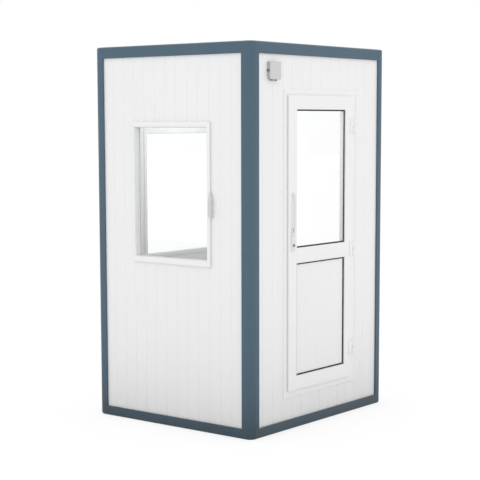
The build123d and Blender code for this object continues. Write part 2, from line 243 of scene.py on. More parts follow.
# %% Short forms for the front side
def front_piece(name, shape, material, slot, *stands_for, **edges):
    """Piece of the booth's front side, and the CAD nodes that it stands for."""
    return make_piece(name, shape, material, slot, "booth", "front", stands_for, **edges)


def leaf_piece(name, shape, material, slot, *stands_for, **edges):
    """Piece that swings with the door leaf, and the CAD nodes that it stands for."""
    return make_piece(name, shape, material, slot, "door", "front", stands_for, **edges)


print("fixed front pieces ride on the booth, and those of the leaf on the door")

# %% [markdown]
# ## Node helpers
# Materials are built from nodes, and a node needs three things: its kind, its settings, and what
# goes into its sockets. One helper does all three, so that each finish below reads like a recipe.

# %% Helpers for nodes
def plug(tree, node, inputs):
    """Fills a node's sockets: a socket among the inputs is linked, and anything else is its value."""
    for key, value in inputs.items():
        if isinstance(value, bpy.types.NodeSocket):
            tree.links.new(value, node.inputs[key])
        else:
            node.inputs[key].default_value = value


def add(tree, kind, inputs=None, **settings):
    """Adds a shader node with its settings and inputs."""
    made = tree.nodes.new("ShaderNode" + kind)
    for key, value in settings.items():
        setattr(made, key, value)
    plug(tree, made, inputs or {})
    return made


def calc(tree, operation, *values, clamp=False):
    """Result of one sum on values."""
    inputs = dict(enumerate(values))
    return add(tree, "Math", inputs, operation=operation, use_clamp=clamp).outputs[0]


def mixed(tree, factor, first, second, blend="MIX"):
    """Colour between two others, by a factor from 0 to 1."""
    made = add(tree, "Mix", {0: factor, 6: first, 7: second}, data_type="RGBA", blend_type=blend)
    return made.outputs[2]


def ranged(tree, value, start, end, low=0.0, high=1.0):
    """Value carried smoothly from one range into another, and held at its ends."""
    inputs = {"Value": value, "From Min": start, "From Max": end, "To Min": low, "To Max": high}
    return add(tree, "MapRange", inputs, interpolation_type="SMOOTHSTEP").outputs["Result"]


def stretched(tree, x, y, z):
    """Object coordinates multiplied along each axis, which squeezes a pattern along that axis."""
    where = add(tree, "TexCoord").outputs["Object"]
    return add(tree, "Mapping", {"Vector": where, "Scale": (x, y, z)}, vector_type="POINT").outputs[0]


def noise(tree, where, scale, detail):
    """Soft noise from 0 to 1 at the given places."""
    return add(tree, "TexNoise", {"Vector": where, "Scale": scale, "Detail": detail}).outputs["Fac"]


def bumped(tree, height, strength, distance=0.001):
    """Normal of a surface with a relief of the given height."""
    return add(tree, "Bump", {"Height": height, "Strength": strength, "Distance": distance}).outputs[0]


print("node helpers:", ", ".join(helper.__name__ for helper in (plug, add, calc, mixed, ranged, stretched)))

# %% Helpers for groups and materials
def new_group(name, inputs, outputs):
    """Shader node group with named value inputs and outputs: the group, its inputs and its outputs."""
    group = bpy.data.node_groups.new(name, "ShaderNodeTree")
    for label, value in inputs.items():
        socket = group.interface.new_socket(label, in_out="INPUT", socket_type="NodeSocketFloat")
        socket.default_value = value
    for label in outputs:
        group.interface.new_socket(label, in_out="OUTPUT", socket_type="NodeSocketFloat")
    return group, group.nodes.new("NodeGroupInput").outputs, group.nodes.new("NodeGroupOutput").inputs


def use(tree, group, **values):
    """Places a group in a material with its own values, and gives its first output."""
    made = tree.nodes.new("ShaderNodeGroup")
    made.node_tree = group
    plug(tree, made, {label.capitalize(): value for label, value in values.items()})
    return made.outputs[0]


def new_material(name):
    """Node material with one Principled shader: the material, its tree and that shader."""
    made = bpy.data.materials.new(name)
    made.use_nodes = True
    shader = next(node for node in made.node_tree.nodes if node.type == "BSDF_PRINCIPLED")
    return made, made.node_tree, shader


def chosen(tree, share, first, second):
    """Sends a mix of two shaders to the material's surface: the second by the given share."""
    mix = add(tree, "MixShader", {0: share, 1: first.outputs[0], 2: second.outputs[0]})
    output = next(node for node in tree.nodes if node.type == "OUTPUT_MATERIAL")
    tree.links.new(mix.outputs[0], output.inputs["Surface"])


def rgb(red, green, blue):
    """Linear colour from 8-bit display values: ((v/255 + 0.055) / 1.055) to the power 2.4."""
    shares = (np.array([red, green, blue]) / 255 + 0.055) / 1.055
    return (*(float(v) for v in shares**2.4), 1.0)


print("the display's middle grey, 128, is", round(rgb(128, 128, 128)[0], 3), "of full light")

# %% [markdown]
# ## Effects that several finishes share
# * Cloudy tone: no painted sheet has exactly one brightness. Soft noise moves it by a percent or two.
# * Ground shade: painted shade makes the foot darker, where the ground lets less light in. It thins out
#   by the same share for each step up, which is an exponential, with a ragged edge.
# * Rain trails: water leaves long, thin, vertical marks, which is noise drawn out along Z.
# * Skin relief: rolled and sprayed paint has a fine orange peel, on sheet that is never quite flat.
# * Resting dust: dust lies on what faces up, so it follows the surface's own direction.
# * Fine grain: moulded plastic and rubber have a pattern of tiny pits.
# Each is a node group that puts out one mask or value, built once and placed with its own numbers.

# %% Tone, painted ground shade and trails
def cloudy_tone():
    """Brightness 1 + 4 × (noise - 0.5) × Amount: noise of the given Scale, drawn out along Z."""
    group, inputs, outputs = new_group("Cloudy tone", {"Scale": 2.0, "Amount": 0.02}, ["Tone"])
    cloud = noise(group, stretched(group, 1, 1, 0.35), inputs["Scale"], 4.0)
    offset = calc(group, "MULTIPLY", calc(group, "SUBTRACT", cloud, 0.5), inputs["Amount"])
    group.links.new(calc(group, "MULTIPLY_ADD", offset, 4.0, 1.0), outputs["Tone"])
    return group


def ground_shade():
    """Mask of painted ground shade: Strength × exp(-z / Height), whose height z is shifted by a ragged noise.
    """
    group, inputs, outputs = new_group("Ground shade", {"Height": 0.3, "Strength": 0.3}, ["Mask"])
    place = add(group, "SeparateXYZ", {0: add(group, "TexCoord").outputs["Object"]})
    ragged = calc(group, "SUBTRACT", noise(group, stretched(group, 1, 1, 0.3), 9.0, 5.0), 0.5)
    share = calc(group, "DIVIDE", place.outputs["Z"], inputs["Height"])
    shifted = calc(group, "ADD", share, calc(group, "MULTIPLY", ragged, 0.3))
    fade = calc(group, "EXPONENT", calc(group, "MULTIPLY", shifted, -1.0), clamp=True)
    group.links.new(calc(group, "MULTIPLY", fade, inputs["Strength"]), outputs["Mask"])
    return group


def rain_trails():
    """Mask of thin vertical trails: noise drawn out along Z, above a threshold, broken into patches."""
    group, inputs, outputs = new_group("Rain trails", {"Scale": 30.0, "Strength": 0.1}, ["Mask"])
    trail = noise(group, stretched(group, 1, 1, 0.03), inputs["Scale"], 3.0)
    patch = noise(group, stretched(group, 1, 1, 0.5), 2.2, 2.0)
    broken = calc(group, "MULTIPLY", ranged(group, trail, 0.55, 0.78), ranged(group, patch, 0.4, 0.65))
    group.links.new(calc(group, "MULTIPLY", broken, inputs["Strength"]), outputs["Mask"])
    return group


CLOUDY_TONE, GROUND_SHADE, RAIN_TRAILS = cloudy_tone(), ground_shade(), rain_trails()
print("shared groups so far:", len(bpy.data.node_groups))

# %% Relief, dust and grain
def skin_relief():
    """Height of a painted sheet: fine orange peel plus a broad, low wave."""
    group, inputs, outputs = new_group("Skin relief", {"Peel": 1.0, "Wave": 1.0}, ["Height"])
    where = add(group, "TexCoord").outputs["Object"]
    peel = calc(group, "MULTIPLY", noise(group, where, 260.0, 2.0), inputs["Peel"])
    wave = calc(group, "MULTIPLY", noise(group, where, 3.5, 1.0), inputs["Wave"])
    group.links.new(calc(group, "ADD", peel, wave), outputs["Height"])
    return group


def resting_dust():
    """Mask of dust on surfaces that face up, broken by noise."""
    group, inputs, outputs = new_group("Resting dust", {"Strength": 0.4}, ["Mask"])
    facing = add(group, "SeparateXYZ", {0: add(group, "TexCoord").outputs["Normal"]}).outputs["Z"]
    patch = noise(group, stretched(group, 1, 1, 1), 14.0, 6.0)
    upwards, patchy = ranged(group, facing, 0.35, 0.95), ranged(group, patch, 0.3, 0.7, 0.35, 1.0)
    level = calc(group, "MULTIPLY", upwards, patchy)
    group.links.new(calc(group, "MULTIPLY", level, inputs["Strength"]), outputs["Mask"])
    return group


def fine_grain():
    """Height of moulded grain: small rounded cells of the given scale."""
    group, inputs, outputs = new_group("Fine grain", {"Scale": 900.0}, ["Height"])
    where = add(group, "TexCoord").outputs["Object"]
    cells = add(group, "TexVoronoi", {"Vector": where, "Scale": inputs["Scale"]}, feature="SMOOTH_F1")
    group.links.new(cells.outputs["Distance"], outputs["Height"])
    return group


SKIN_RELIEF, RESTING_DUST, FINE_GRAIN = skin_relief(), resting_dust(), fine_grain()
print("shared groups:", ", ".join(group.name for group in bpy.data.node_groups))

# %% [markdown]
# ## Painted and coated surfaces
# Most of what shows is a coated sheet or a smooth profile. They differ in colour, in gloss and in how
# much each effect shows, so one recipe takes those as values: colour, times the cloudy tone, with
# trails, with painted shade at the foot and dust on top, and a relief that feeds a Bump node.

# %% The recipe for a coated surface
# Colour of the painted shade at the foot, unless a finish gives its own.
FOOT_SHADE_COLOUR = (0.16, 0.145, 0.125, 1.0)
DUST_COLOUR = (0.46, 0.43, 0.39, 1.0)


def coated(name, colour, roughness, tone=0.015, foot_shade=0.0, foot_shade_height=0.33, trails=0.0, dust=0.0,
           peel=0.35, wave=1.0, relief=0.15, grain=None, specular=0.5, under_foot_shade=FOOT_SHADE_COLOUR):
    """Coated sheet or smooth profile, with the shared effects in the given amounts."""
    made, tree, shader = new_material(name)
    base = mixed(tree, 1.0, colour, use(tree, CLOUDY_TONE, scale=1.6, amount=tone), "MULTIPLY")
    if trails:
        base = mixed(tree, use(tree, RAIN_TRAILS, strength=trails), base, DUST_COLOUR)
    # The foot mask mixes painted shade into the colour near the ground.
    if foot_shade:
        base = mixed(tree, use(tree, GROUND_SHADE, height=foot_shade_height, strength=foot_shade), base, under_foot_shade)
    if dust:
        base = mixed(tree, use(tree, RESTING_DUST, strength=dust), base, DUST_COLOUR)
    gloss = calc(tree, "MULTIPLY", use(tree, CLOUDY_TONE, scale=7.0, amount=0.12), roughness, clamp=True)
    height = use(tree, FINE_GRAIN, scale=grain) if grain else use(tree, SKIN_RELIEF, peel=peel, wave=wave)
    plug(tree, shader, {"Base Color": base, "Roughness": gloss, "Normal": bumped(tree, height, relief),
                        "Specular IOR Level": specular})
    return made


print("soil throws back", FOOT_SHADE_COLOUR[0], "of red light, and dust", DUST_COLOUR[0])

# %% [markdown]
# ### The coated finishes of this booth
# The steel cage is satin blue-grey. The panels' steel skins are coated white at the works, a little
# glossier than the paint. Window and door profiles are white plastic, which is smoother still.
# The small fittings are grey plastics, and the roof and the joists have plain coats of their own.

# %% Coated finishes
# Frame, walls and white profiles get darker towards the foot by painted shade; the frame's shade colour is
# its own blue-grey in shadow.
frame_paint = coated("Frame paint", rgb(76, 99, 115), 0.42, tone=0.03, foot_shade=0.72, foot_shade_height=0.27,
                     trails=0.05, dust=0.25, peel=0.5, relief=0.2, specular=0.3, under_foot_shade=rgb(42, 52, 58))
wall_skin = coated("Wall skin", rgb(239, 239, 240), 0.38, tone=0.008, foot_shade=0.3, trails=0.035,
                   peel=0.25, wave=2.5, relief=0.12)
profile_white = coated("White profile", rgb(239, 239, 239), 0.3, tone=0.006, foot_shade=0.2, trails=0.02,
                       dust=0.12, peel=0.2, relief=0.06)
roof_coat = coated("Roof coat", rgb(222, 223, 224), 0.45, tone=0.03, trails=0.1, dust=0.2, relief=0.15)
latch_plastic = coated("Latch plastic", rgb(207, 207, 208), 0.4, tone=0.02, grain=1400.0, relief=0.08)
lid_plastic = coated("Lid plastic", rgb(206, 206, 206), 0.45, grain=1100.0, relief=0.12, dust=0.2)
box_plastic = coated("Box plastic", rgb(180, 180, 181), 0.5, grain=1100.0, relief=0.12, dust=0.2)
handle_coat = coated("Handle coat", rgb(226, 226, 226), 0.28, tone=0.01, peel=0.6, relief=0.1)
seal_grey = coated("Grey seal", rgb(150, 150, 150), 0.6, tone=0.02, grain=1600.0, relief=0.1)
seal_pale = coated("Pale seal", rgb(222, 222, 221), 0.55, tone=0.02, grain=1600.0, relief=0.08)
plug_grey = coated("Plug grey", rgb(112, 113, 114), 0.55, tone=0.02, grain=1500.0, relief=0.1)
sealant = coated("Sealant", rgb(196, 196, 192), 0.35, tone=0.04, wave=6.0, relief=0.5, dust=0.4)
joist_primer = coated("Joist primer", rgb(96, 98, 100), 0.6, tone=0.06, dust=0.3, relief=0.3)
print("coated finishes:", len(bpy.data.materials))

# %% [markdown]
# ### Rubber, metal, floor and glass
# Black rubber is nearly matt, and pale dust sits in its grain. The threshold is brushed aluminium:
# noise squeezed hard across the brushing gives the fine lines. The floor is a speckled vinyl, whose
# chips are the cells of a Voronoi pattern. The glass is clear with a faint green tint, and its
# roughness rises where dust has dried on it. Light reaches the room through the glass, so for rays
# that carry light the pane is simply transparent: Light Path picks that in the material itself.

# %% Rubber and metals
def rubber():
    """Black rubber: grain as relief, and a thin film of pale dust as colour."""
    made, tree, shader = new_material("Black rubber")
    film = calc(tree, "MULTIPLY", use(tree, CLOUDY_TONE, scale=22.0, amount=0.25), 0.02)
    plug(tree, shader, {"Base Color": mixed(tree, film, (0.011, 0.011, 0.012, 1), (0.3, 0.3, 0.3, 1)),
                        "Normal": bumped(tree, use(tree, FINE_GRAIN, scale=1500.0), 0.2),
                        "Roughness": 0.62})
    return made


def brushed_metal(name, colour, roughness, stretch):
    """Bare metal: brushing is noise squeezed by the stretch along each axis, dark in its scratches."""
    made, tree, shader = new_material(name)
    lines = noise(tree, stretched(tree, *stretch), 40.0, 3.0)
    scratched = [0.72 * v for v in colour[:3]] + [1.0]
    plug(tree, shader, {"Base Color": mixed(tree, lines, colour, scratched),
                        "Roughness": ranged(tree, lines, 0.2, 0.8, roughness - 0.08, roughness + 0.12),
                        "Normal": bumped(tree, lines, 0.15, 0.0005), "Metallic": 1.0})
    return made


black_rubber = rubber()
threshold_metal = brushed_metal("Brushed aluminium", (0.78, 0.79, 0.8, 1), 0.34, (0.3, 8, 8))
screw_zinc = brushed_metal("Zinc screws", (0.62, 0.63, 0.65, 1), 0.36, (6, 6, 6))
lock_dark = brushed_metal("Lock metal", (0.34, 0.34, 0.35, 1), 0.4, (9, 9, 9))
metals = (threshold_metal, screw_zinc, lock_dark)
print("made", black_rubber.name, "and", ", ".join(metal.name for metal in metals))

# %% Vinyl and glass
def vinyl():
    """Speckled floor vinyl: each Voronoi cell gets one of three greys by its random colour."""
    made, tree, shader = new_material("Floor vinyl")
    where = add(tree, "TexCoord").outputs["Object"]
    cells = add(tree, "TexVoronoi", {"Vector": where, "Scale": 190.0})
    pick = add(tree, "SeparateColor", {0: cells.outputs["Color"]}).outputs["Red"]
    pale = mixed(tree, ranged(tree, pick, 0.72, 0.76), rgb(112, 114, 116), rgb(150, 151, 150))
    chips = mixed(tree, ranged(tree, pick, 0.2, 0.24), rgb(84, 87, 90), pale)
    dusty = mixed(tree, use(tree, RESTING_DUST, strength=0.18), chips, DUST_COLOUR)
    plug(tree, shader, {"Base Color": dusty, "Roughness": 0.5,
                        "Normal": bumped(tree, use(tree, FINE_GRAIN, scale=700.0), 0.1)})
    return made


def clear_glass():
    """Window glass: plain transmission, dusty roughness, and transparent to rays that carry light."""
    made, tree, shader = new_material("Clear glass")
    dried = noise(tree, stretched(tree, 1, 1, 0.5), 7.0, 5.0)
    plug(tree, shader, {"Base Color": (0.996, 1.0, 0.998, 1), "Transmission Weight": 1.0, "IOR": 1.45,
                        "Roughness": ranged(tree, dried, 0.45, 0.85, 0.0, 0.05)})
    path = add(tree, "LightPath").outputs
    carries = calc(tree, "MAXIMUM", path["Is Shadow Ray"], path["Is Diffuse Ray"])
    chosen(tree, carries, shader, add(tree, "BsdfTransparent", {"Color": (0.96, 0.975, 0.97, 1)}))
    return made


floor_vinyl = vinyl()
glass = clear_glass()
print("made", floor_vinyl.name, "and", glass.name)

# %% Finishes of the CAD nodes
FINISH_OF_SLOT = {
    "frame_paint": frame_paint, "wall_panel": wall_skin, "roof_sheet": roof_coat,
    "white_plastic": profile_white, "clear_glass": glass, "black_rubber": black_rubber,
    "grey_plastic": latch_plastic, "box_plastic": box_plastic, "handle_metal": handle_coat,
    "lock_metal": lock_dark, "floor_board": floor_vinyl, "joist_steel": joist_primer,
}
for subpart in frame["record"]["subparts"]:
    carried = frame["nodes"][subpart["node"]]
    carried.data.materials.clear()
    carried.data.materials.append(FINISH_OF_SLOT[subpart["material_slot"]])

# %% [markdown]
# New pieces come in many finishes but few slots, so the pairs that are used more than once get a
# short name here: a pale seal, for one, is listed with the rubber.

# %% Finishes with their slots
STEEL = (frame_paint, "frame_paint")
SKIN = (wall_skin, "wall_panel")
WHITE = (profile_white, "white_plastic")
PALE_SEAL = (seal_pale, "black_rubber")
DARK_SEAL = (black_rubber, "black_rubber")
GREY_RUBBER = (plug_grey, "black_rubber")
ZINC = (screw_zinc, "lock_metal")
WHITE_SCREW = (handle_coat, "lock_metal")
print("pieces in white plastic use", WHITE[0].name, "and the slot", WHITE[1])

# %% [markdown]
# ## The steel cage: corner posts and corner blocks
# A post is a quarter-round column with two legs that cover the panels' ends. Its foot, and the block
# above it in the top ring, are eased onto the flat with a smaller radius r. A cross-section at any
# height is the same plan, drawn in by an inset: inset = r - r cos b at a height r sin b round the
# turn. So one grid of (plan point, height) gives the post with its eased foot, and another the block.
# Two Bevel modifiers on a block could cut both radii too, but how they blend would be left to them.

# %% Plan of a corner
COLUMN_RADIUS = 0.050
EDGE_RADIUS = 0.014
SEAM = 0.0012
CORNER_TURNS = {"front_left": 0, "front_right": 90, "back_right": 180, "back_left": 270}


def corner_signs(corner):
    """Signs of x and y at a named corner of the booth."""
    return (-1 if "left" in corner else 1), (-1 if "front" in corner else 1)


def corner_plan(inset, leg):
    """Closed plan of a corner member, inwards from the outer corner: an arc of radius R - inset about
    (R, R), a straight leg each way, and the inner outline at depth leg."""
    turn = np.linspace(0, np.pi / 2, 21)
    radius = COLUMN_RADIUS - inset
    arc = COLUMN_RADIUS - radius * np.column_stack([np.sin(turn), np.cos(turn)])
    edge = max(WALL_FACE, inset)
    inner = [(inset, POST_FACE), (edge, POST_FACE), (leg, POST_FACE), (leg, WALL_BACK),
             (WALL_BACK, WALL_BACK), (WALL_BACK, leg), (POST_FACE, leg), (POST_FACE, edge)]
    return np.vstack([[(POST_FACE, inset)], arc, inner])


def corner_member(corner, stations):
    """Loft of plans at (height, inset, leg) stations, turned and moved to its corner."""
    plans = [np.insert(corner_plan(inset, leg), 2, height, axis=1) for height, inset, leg in stations]
    x, y, z = np.moveaxis(np.stack(plans), -1, 0)
    turn = math.radians(CORNER_TURNS[corner])
    across = x * math.cos(turn) - y * math.sin(turn)
    along = x * math.sin(turn) + y * math.cos(turn)
    x_sign, y_sign = corner_signs(corner)
    return loft(np.stack([across + x_sign * HALF_WIDTH, along + y_sign * HALF_DEPTH, z], -1))


print("points in a corner's plan:", len(corner_plan(0, WALL_BACK)))

# %% Corner posts and blocks
turn_over = np.linspace(0, np.pi / 2, 9)
insets = EDGE_RADIUS * (1 - np.cos(turn_over))
rises = EDGE_RADIUS * np.sin(turn_over)
foot = [(EDGE_RADIUS - rise, inset, WALL_BACK) for rise, inset in zip(rises, insets)][::-1]
crown = [(HEIGHT - EDGE_RADIUS + rise, inset, WALL_BACK) for rise, inset in zip(rises, insets)]
STATIONS = {
    "post": foot + [(WALL_FOOT, 0, WALL_BACK), (WALL_FOOT, 0, WALL_FACE), (RING_BOTTOM, 0, WALL_FACE)],
    "corner_block": [(RING_BOTTOM, 0, WALL_FACE), (WALL_TOP, 0, WALL_FACE), (WALL_TOP, 0, WALL_BACK)] + crown,
}
for corner in CORNER_TURNS:
    for part, stations in STATIONS.items():
        node = f"{part}_{corner}"
        make_piece(f"{node}_steel", corner_member(corner, stations), *STEEL, stands_for=[node], bevel=SEAM)

# %% [markdown]
# ## The steel cage: rails
# A rail is the same folded steel laid flat: a face strip that laps over the panel's edge, a deep
# core behind it, and the small radius along its outer edge. Its profile in (d, z) is carried straight
# along u. The small bevel at its ends meets the post's own bevel, and the pair makes the fine
# V-shaped joint line that butted steel shows under paint. A dark line painted on would look the same
# from the front, but it wouldn't catch light along one lip as this one does.

# %% Rails
def rail_profile(face, core, outer):
    """Closed (d, z) profile: face strip from z = face, core from z = core, edge radius at z = outer."""
    way = np.sign(outer - face)
    turn = np.linspace(0, np.pi / 2, 13)
    arc_d = EDGE_RADIUS * (1 - np.cos(turn))
    arc_z = outer - way * EDGE_RADIUS * (1 - np.sin(turn))
    rest = [(WALL_BACK, outer), (WALL_BACK, core), (WALL_FACE, core), (WALL_FACE, face), (0, face)]
    return np.vstack([np.column_stack([arc_d, arc_z]), rest])


RAIL_PROFILES = {"top_rail": rail_profile(RING_BOTTOM, WALL_TOP, HEIGHT),
                 "bottom_rail": rail_profile(RAIL_FACE, WALL_FOOT, 0.0)}
for side in TURNS:
    reach = HALF_LENGTH[side] - POST_FACE
    for part, profile in RAIL_PROFILES.items():
        node = f"{part}_{side}"
        make_piece(f"{node}_steel", swept(profile, 0, (-reach, reach)), *STEEL,
                   side=side, stands_for=[node], bevel=SEAM)

# %% [markdown]
# ## Wall panels with rolled grooves
# The panels are foam between two thin steel skins, and shallow grooves are rolled into both skins to
# stiffen them. Displacing a subdivided plane would need many faces for a groove barely 3 mm deep. Instead
# the grid has columns only where the surface bends: five across each groove, and the edges of the
# window or door hole. Depth is a function of u, and cells inside the hole are left out.

# %% Grooves and holes
GROOVE_WIDTH, GROOVE_DEPTH = 0.008, 0.0028


def groove_relief(u, lines, width, depth):
    """Depth of a row of rounded grooves: depth × cos² of the distance from the nearest line."""
    gap = np.abs(np.asarray(u)[..., None] - lines).min(-1)
    return depth * np.cos(np.pi / 2 * np.clip(2 * gap / width, 0, 1)) ** 2


def kept_cells(us, zs, hole):
    """Which cells of a grid stay: all but those whose middle lies in the hole ((u, z), (u, z))."""
    (u0, z0), (u1, z1) = hole
    mid_u, mid_z = (us[1:] + us[:-1]) / 2, (zs[1:] + zs[:-1]) / 2
    inside_u = (mid_u > u0) & (mid_u < u1)
    inside_z = (mid_z > z0) & (mid_z < z1)
    return ~(inside_u[:, None] & inside_z[None, :])


print("wall grooves", 1000 * GROOVE_WIDTH, "mm wide and", 1000 * GROOVE_DEPTH, "mm deep")

# %% The grooved plate
def grooved_plate(low, high, lines, hole=None, width=GROOVE_WIDTH, depth=GROOVE_DEPTH):
    """Plate from low to high with grooves in both faces and a rectangular hole ((u, z), (u, z)).
    Rim faces join front and back wherever a kept cell has no kept neighbour."""
    lines = np.array([v for v in lines if low[0] + width < v < high[0] - width])
    across = (lines[:, None] + width * np.array([-0.5, -0.25, 0, 0.25, 0.5])).ravel()
    cuts_u, cuts_z = zip(*hole) if hole else ([], [])
    us = np.unique(np.round(np.concatenate([[low[0], high[0]], across, cuts_u]), 6))
    zs = np.unique(np.round(np.concatenate([[low[2], high[2]], cuts_z]), 6))
    keep = kept_cells(us, zs, hole) if hole else np.ones((len(us) - 1, len(zs) - 1), bool)
    u, z = np.meshgrid(us, zs, indexing="ij")
    relief = groove_relief(u, lines, width, depth)
    front = np.stack([u, low[1] + relief, z], -1).reshape(-1, 3)
    back = np.stack([u, high[1] - relief, z], -1).reshape(-1, 3)
    number = np.arange(u.size).reshape(u.shape)
    quads = [np.stack([number[:-1, :-1], number[1:, :-1], number[1:, 1:], number[:-1, 1:]], -1)[keep]]
    quads.append(quads[0][:, ::-1] + u.size)
    padded = np.pad(keep, 1)
    for step, edge in (((0, 1), padded[1:, 1:-1] != padded[:-1, 1:-1]),
                       ((1, 0), padded[1:-1, 1:] != padded[1:-1, :-1])):
        i, j = np.nonzero(edge)
        start, end = number[i, j], number[i + step[0], j + step[1]]
        quads.append(np.stack([start, end, end + u.size, start + u.size], -1))
    used, quads = np.unique(np.concatenate(quads), return_inverse=True)
    return np.concatenate([front, back])[used], [quads.reshape(-1, 4)]


sample_points, _ = grooved_plate((0, 0, 0), (1, 0.05, 1), [0.5])
print("a plate with one groove has", len(sample_points), "points")

# %% [markdown]
# ### The four walls
# Groove lines start at a set distance from the wall's own corner and repeat at a pitch. The window
# holes are larger than the clear opening by the thickness of the casing's lining.

# %% Walls
FIRST_GROOVE_AND_PITCH = {"left": (0.0765, 0.0915), "right": (0.0765, 0.0915),
                          "front": (0.130, 0.105), "back": (0.130, 0.105)}
LINER = 0.008
GROOVE_SHARP = 8


def groove_lines(side):
    """Groove places along u. Those of the side walls are counted from the front corner."""
    start, pitch = FIRST_GROOVE_AND_PITCH[side]
    steps = start + pitch * np.arange(20)
    return HALF_LENGTH[side] - steps if side == "left" else steps - HALF_LENGTH[side]


def opening(side, node, grow=0.0):
    """((u, z), (u, z)) of a CAD node seen from a side, grown all round."""
    low, high = side_box(side, node)
    return (low[0] - grow, low[2] - grow), (high[0] + grow, high[2] + grow)


for side in WINDOW_SIDES:
    hole = opening(side, f"{side}_window_glass", LINER)
    plate = grooved_plate(*side_box(side, f"{side}_wall"), groove_lines(side), hole)
    make_piece(f"{side}_wall_skin", plate, *SKIN, side=side, stands_for=[f"{side}_wall"], sharp=GROOVE_SHARP)

lock_low, lock_high = side_box("front", "door_frame_lock_jamb")
hinge_low, hinge_high = side_box("front", "door_frame_hinge_jamb")
door_hole = (lock_low[0], lock_low[2]), (hinge_high[0], hinge_high[2])
low, high = side_box("front", "front_wall_left")[0], side_box("front", "front_wall_right")[1]
front_piece("front_wall_skin", grooved_plate(low, high, groove_lines("front"), door_hole), *SKIN,
            *(f"front_wall_{part}" for part in ("left", "right", "head", "sill")), sharp=GROOVE_SHARP)

# %% [markdown]
# ## Mitred profiles
# Window casings, the door's surround and its leaf are all made of plastic profile, cut at 45 degrees
# and welded. So a profile is written once as rows of (share, extra, depth): share × the bar's own
# width + extra, outside the clear opening. Corners of the profile are softened with a short
# parabola. Where the four bars are separate pieces, each is a loft between its two mitres, and a tiny
# bevel there leaves the weld line. Where they are one piece, they form one closed ring, because two
# end faces hidden inside a mitre would spoil the bevel and show as black creases.

# %% Soft profiles
WELD = 0.0005
SEAL_WELD = WELD / 2
LONGEST_ROUNDING = 0.45


def softened(rows, radius, width=0.05, steps=4):
    """Rounds a closed profile: from radius before each corner to radius after it runs the parabola
    (1-t)² a + 2t(1-t) corner + t² b. Lengths are measured on a bar of the given width, and a radius
    takes no more than LONGEST_ROUNDING of a side."""
    rows = np.array(rows, float)
    flat = np.column_stack([rows[:, 0] * width + rows[:, 1], rows[:, 2]])
    radius = np.broadcast_to(radius, len(rows))
    ends = []
    for shift in (1, -1):
        length = np.linalg.norm(np.roll(flat, shift, 0) - flat, axis=1)
        share = np.minimum(radius / length, LONGEST_ROUNDING)[:, None]
        ends.append(rows + (np.roll(rows, shift, 0) - rows) * share)
    t = np.linspace(0, 1, steps + 1)[None, :, None]
    curve = (1 - t) ** 2 * ends[0][:, None] + 2 * t * (1 - t) * rows[:, None] + t**2 * ends[1][:, None]
    return curve.reshape(-1, 3)


print("weld lines", 1000 * WELD, "mm")

# %% Mitred bars and rings
def bar_widths(clear, outer):
    """Widths left, right, foot and head between a clear opening and the outline round it."""
    (u0, z0), (u1, z1) = clear
    (outer_u0, outer_z0), (outer_u1, outer_z1) = outer
    return u0 - outer_u0, outer_u1 - u1, z0 - outer_z0, outer_z1 - z1


def mitres(clear, rows, widths):
    """Profile at the four corners round a clear opening ((u, z), (u, z)), as (4, k, 3) points; widths
    are left, right, foot, head. Each corner's section lies in the diagonal plane of its mitre."""
    (u0, z0), (u1, z1) = clear
    left, right, foot_width, head = widths
    share, extra, depth = rows.T
    west, east = u0 - share * left - extra, u1 + share * right + extra
    south, north = z0 - share * foot_width - extra, z1 + share * head + extra
    return np.stack([np.column_stack(pair) for pair in (
        (west, depth, south), (east, depth, south), (east, depth, north), (west, depth, north))])


def mitred_bars(clear, rows, widths):
    """Foot, right, head and left bar, each a loft of the profile between its two mitres."""
    corners = mitres(clear, rows, widths)
    return [loft(corners[[i, (i + 1) % 4]]) for i in range(4)]


def mitred_ring(clear, rows, widths=(0, 0, 0, 0)):
    """The four bars welded into one closed ring, with no faces left inside its mitres."""
    corners = mitres(clear, rows, widths)
    return corners.reshape(-1, 3), [grid_quads(4, corners.shape[1], closed_rows=True, closed_columns=True)]


triangle = np.array([(0, 0, 0), (1, 0, 0), (0, 0, 1)])
sample_points, _ = mitred_ring(((0, 0), (1, 1)), triangle, (1, 1, 1, 1))
print("a ring of triangular bars has", len(sample_points), "points")

# %% [markdown]
# ## Windows
# A casing laps over the wall outside, wider on the side that carries the latch, and lines the hole.
# A pale grey sealing strip runs round its outer edge, down to the wall, and its grey also paints the
# shade on the casing's side face. A bead each side holds the pane, with a thin pale seal against the
# glass, and a flat trim covers the hole's edge indoors. The pane itself is the CAD solid with the glass
# finish. All of them could be cut from blocks with Booleans, but rings of one profile need no cleaning
# up and follow the opening when its size changes.

# %% Sizes of the window profiles
SLOPE_WIDTH, SLOPE_DEPTH = 0.005, 0.004
BEAD, BEAD_TOE, BEAD_DEPTH, BEAD_SETBACK = 0.0025, 0.003, 0.012, 0.001
SEAL = 0.003
SHADED_SEAL, SHADED_SEAL_PROUD, SHADED_SEAL_LAP, SHADED_SEAL_EASE = 0.010, 0.0012, 0.002, 0.001
INNER_TRIM, TRIM_PROUD = 0.028, 0.004
CASING_RADII = (0.001, 0.004, 0.002, 0.002, 0.001, 0.001, 0.001)
BEAD_RADIUS, SEAL_RADIUS = 0.0015, 0.0008


def strip_rows(width, start, end, toe=None):
    """Profile of a strip inside an opening, from depth start to end. Its width at the start is toe."""
    toe = width if toe is None else toe
    return [(0, 0, start), (0, -toe, start), (0, -width, end), (0, 0, end)]


def strips(clear, profiles, radius):
    """Rings of softened profiles round the same opening, joined."""
    return joined([mitred_ring(clear, softened(rows, radius)) for rows in profiles])


print("beads hide", 1000 * BEAD, "mm of the glass all round")

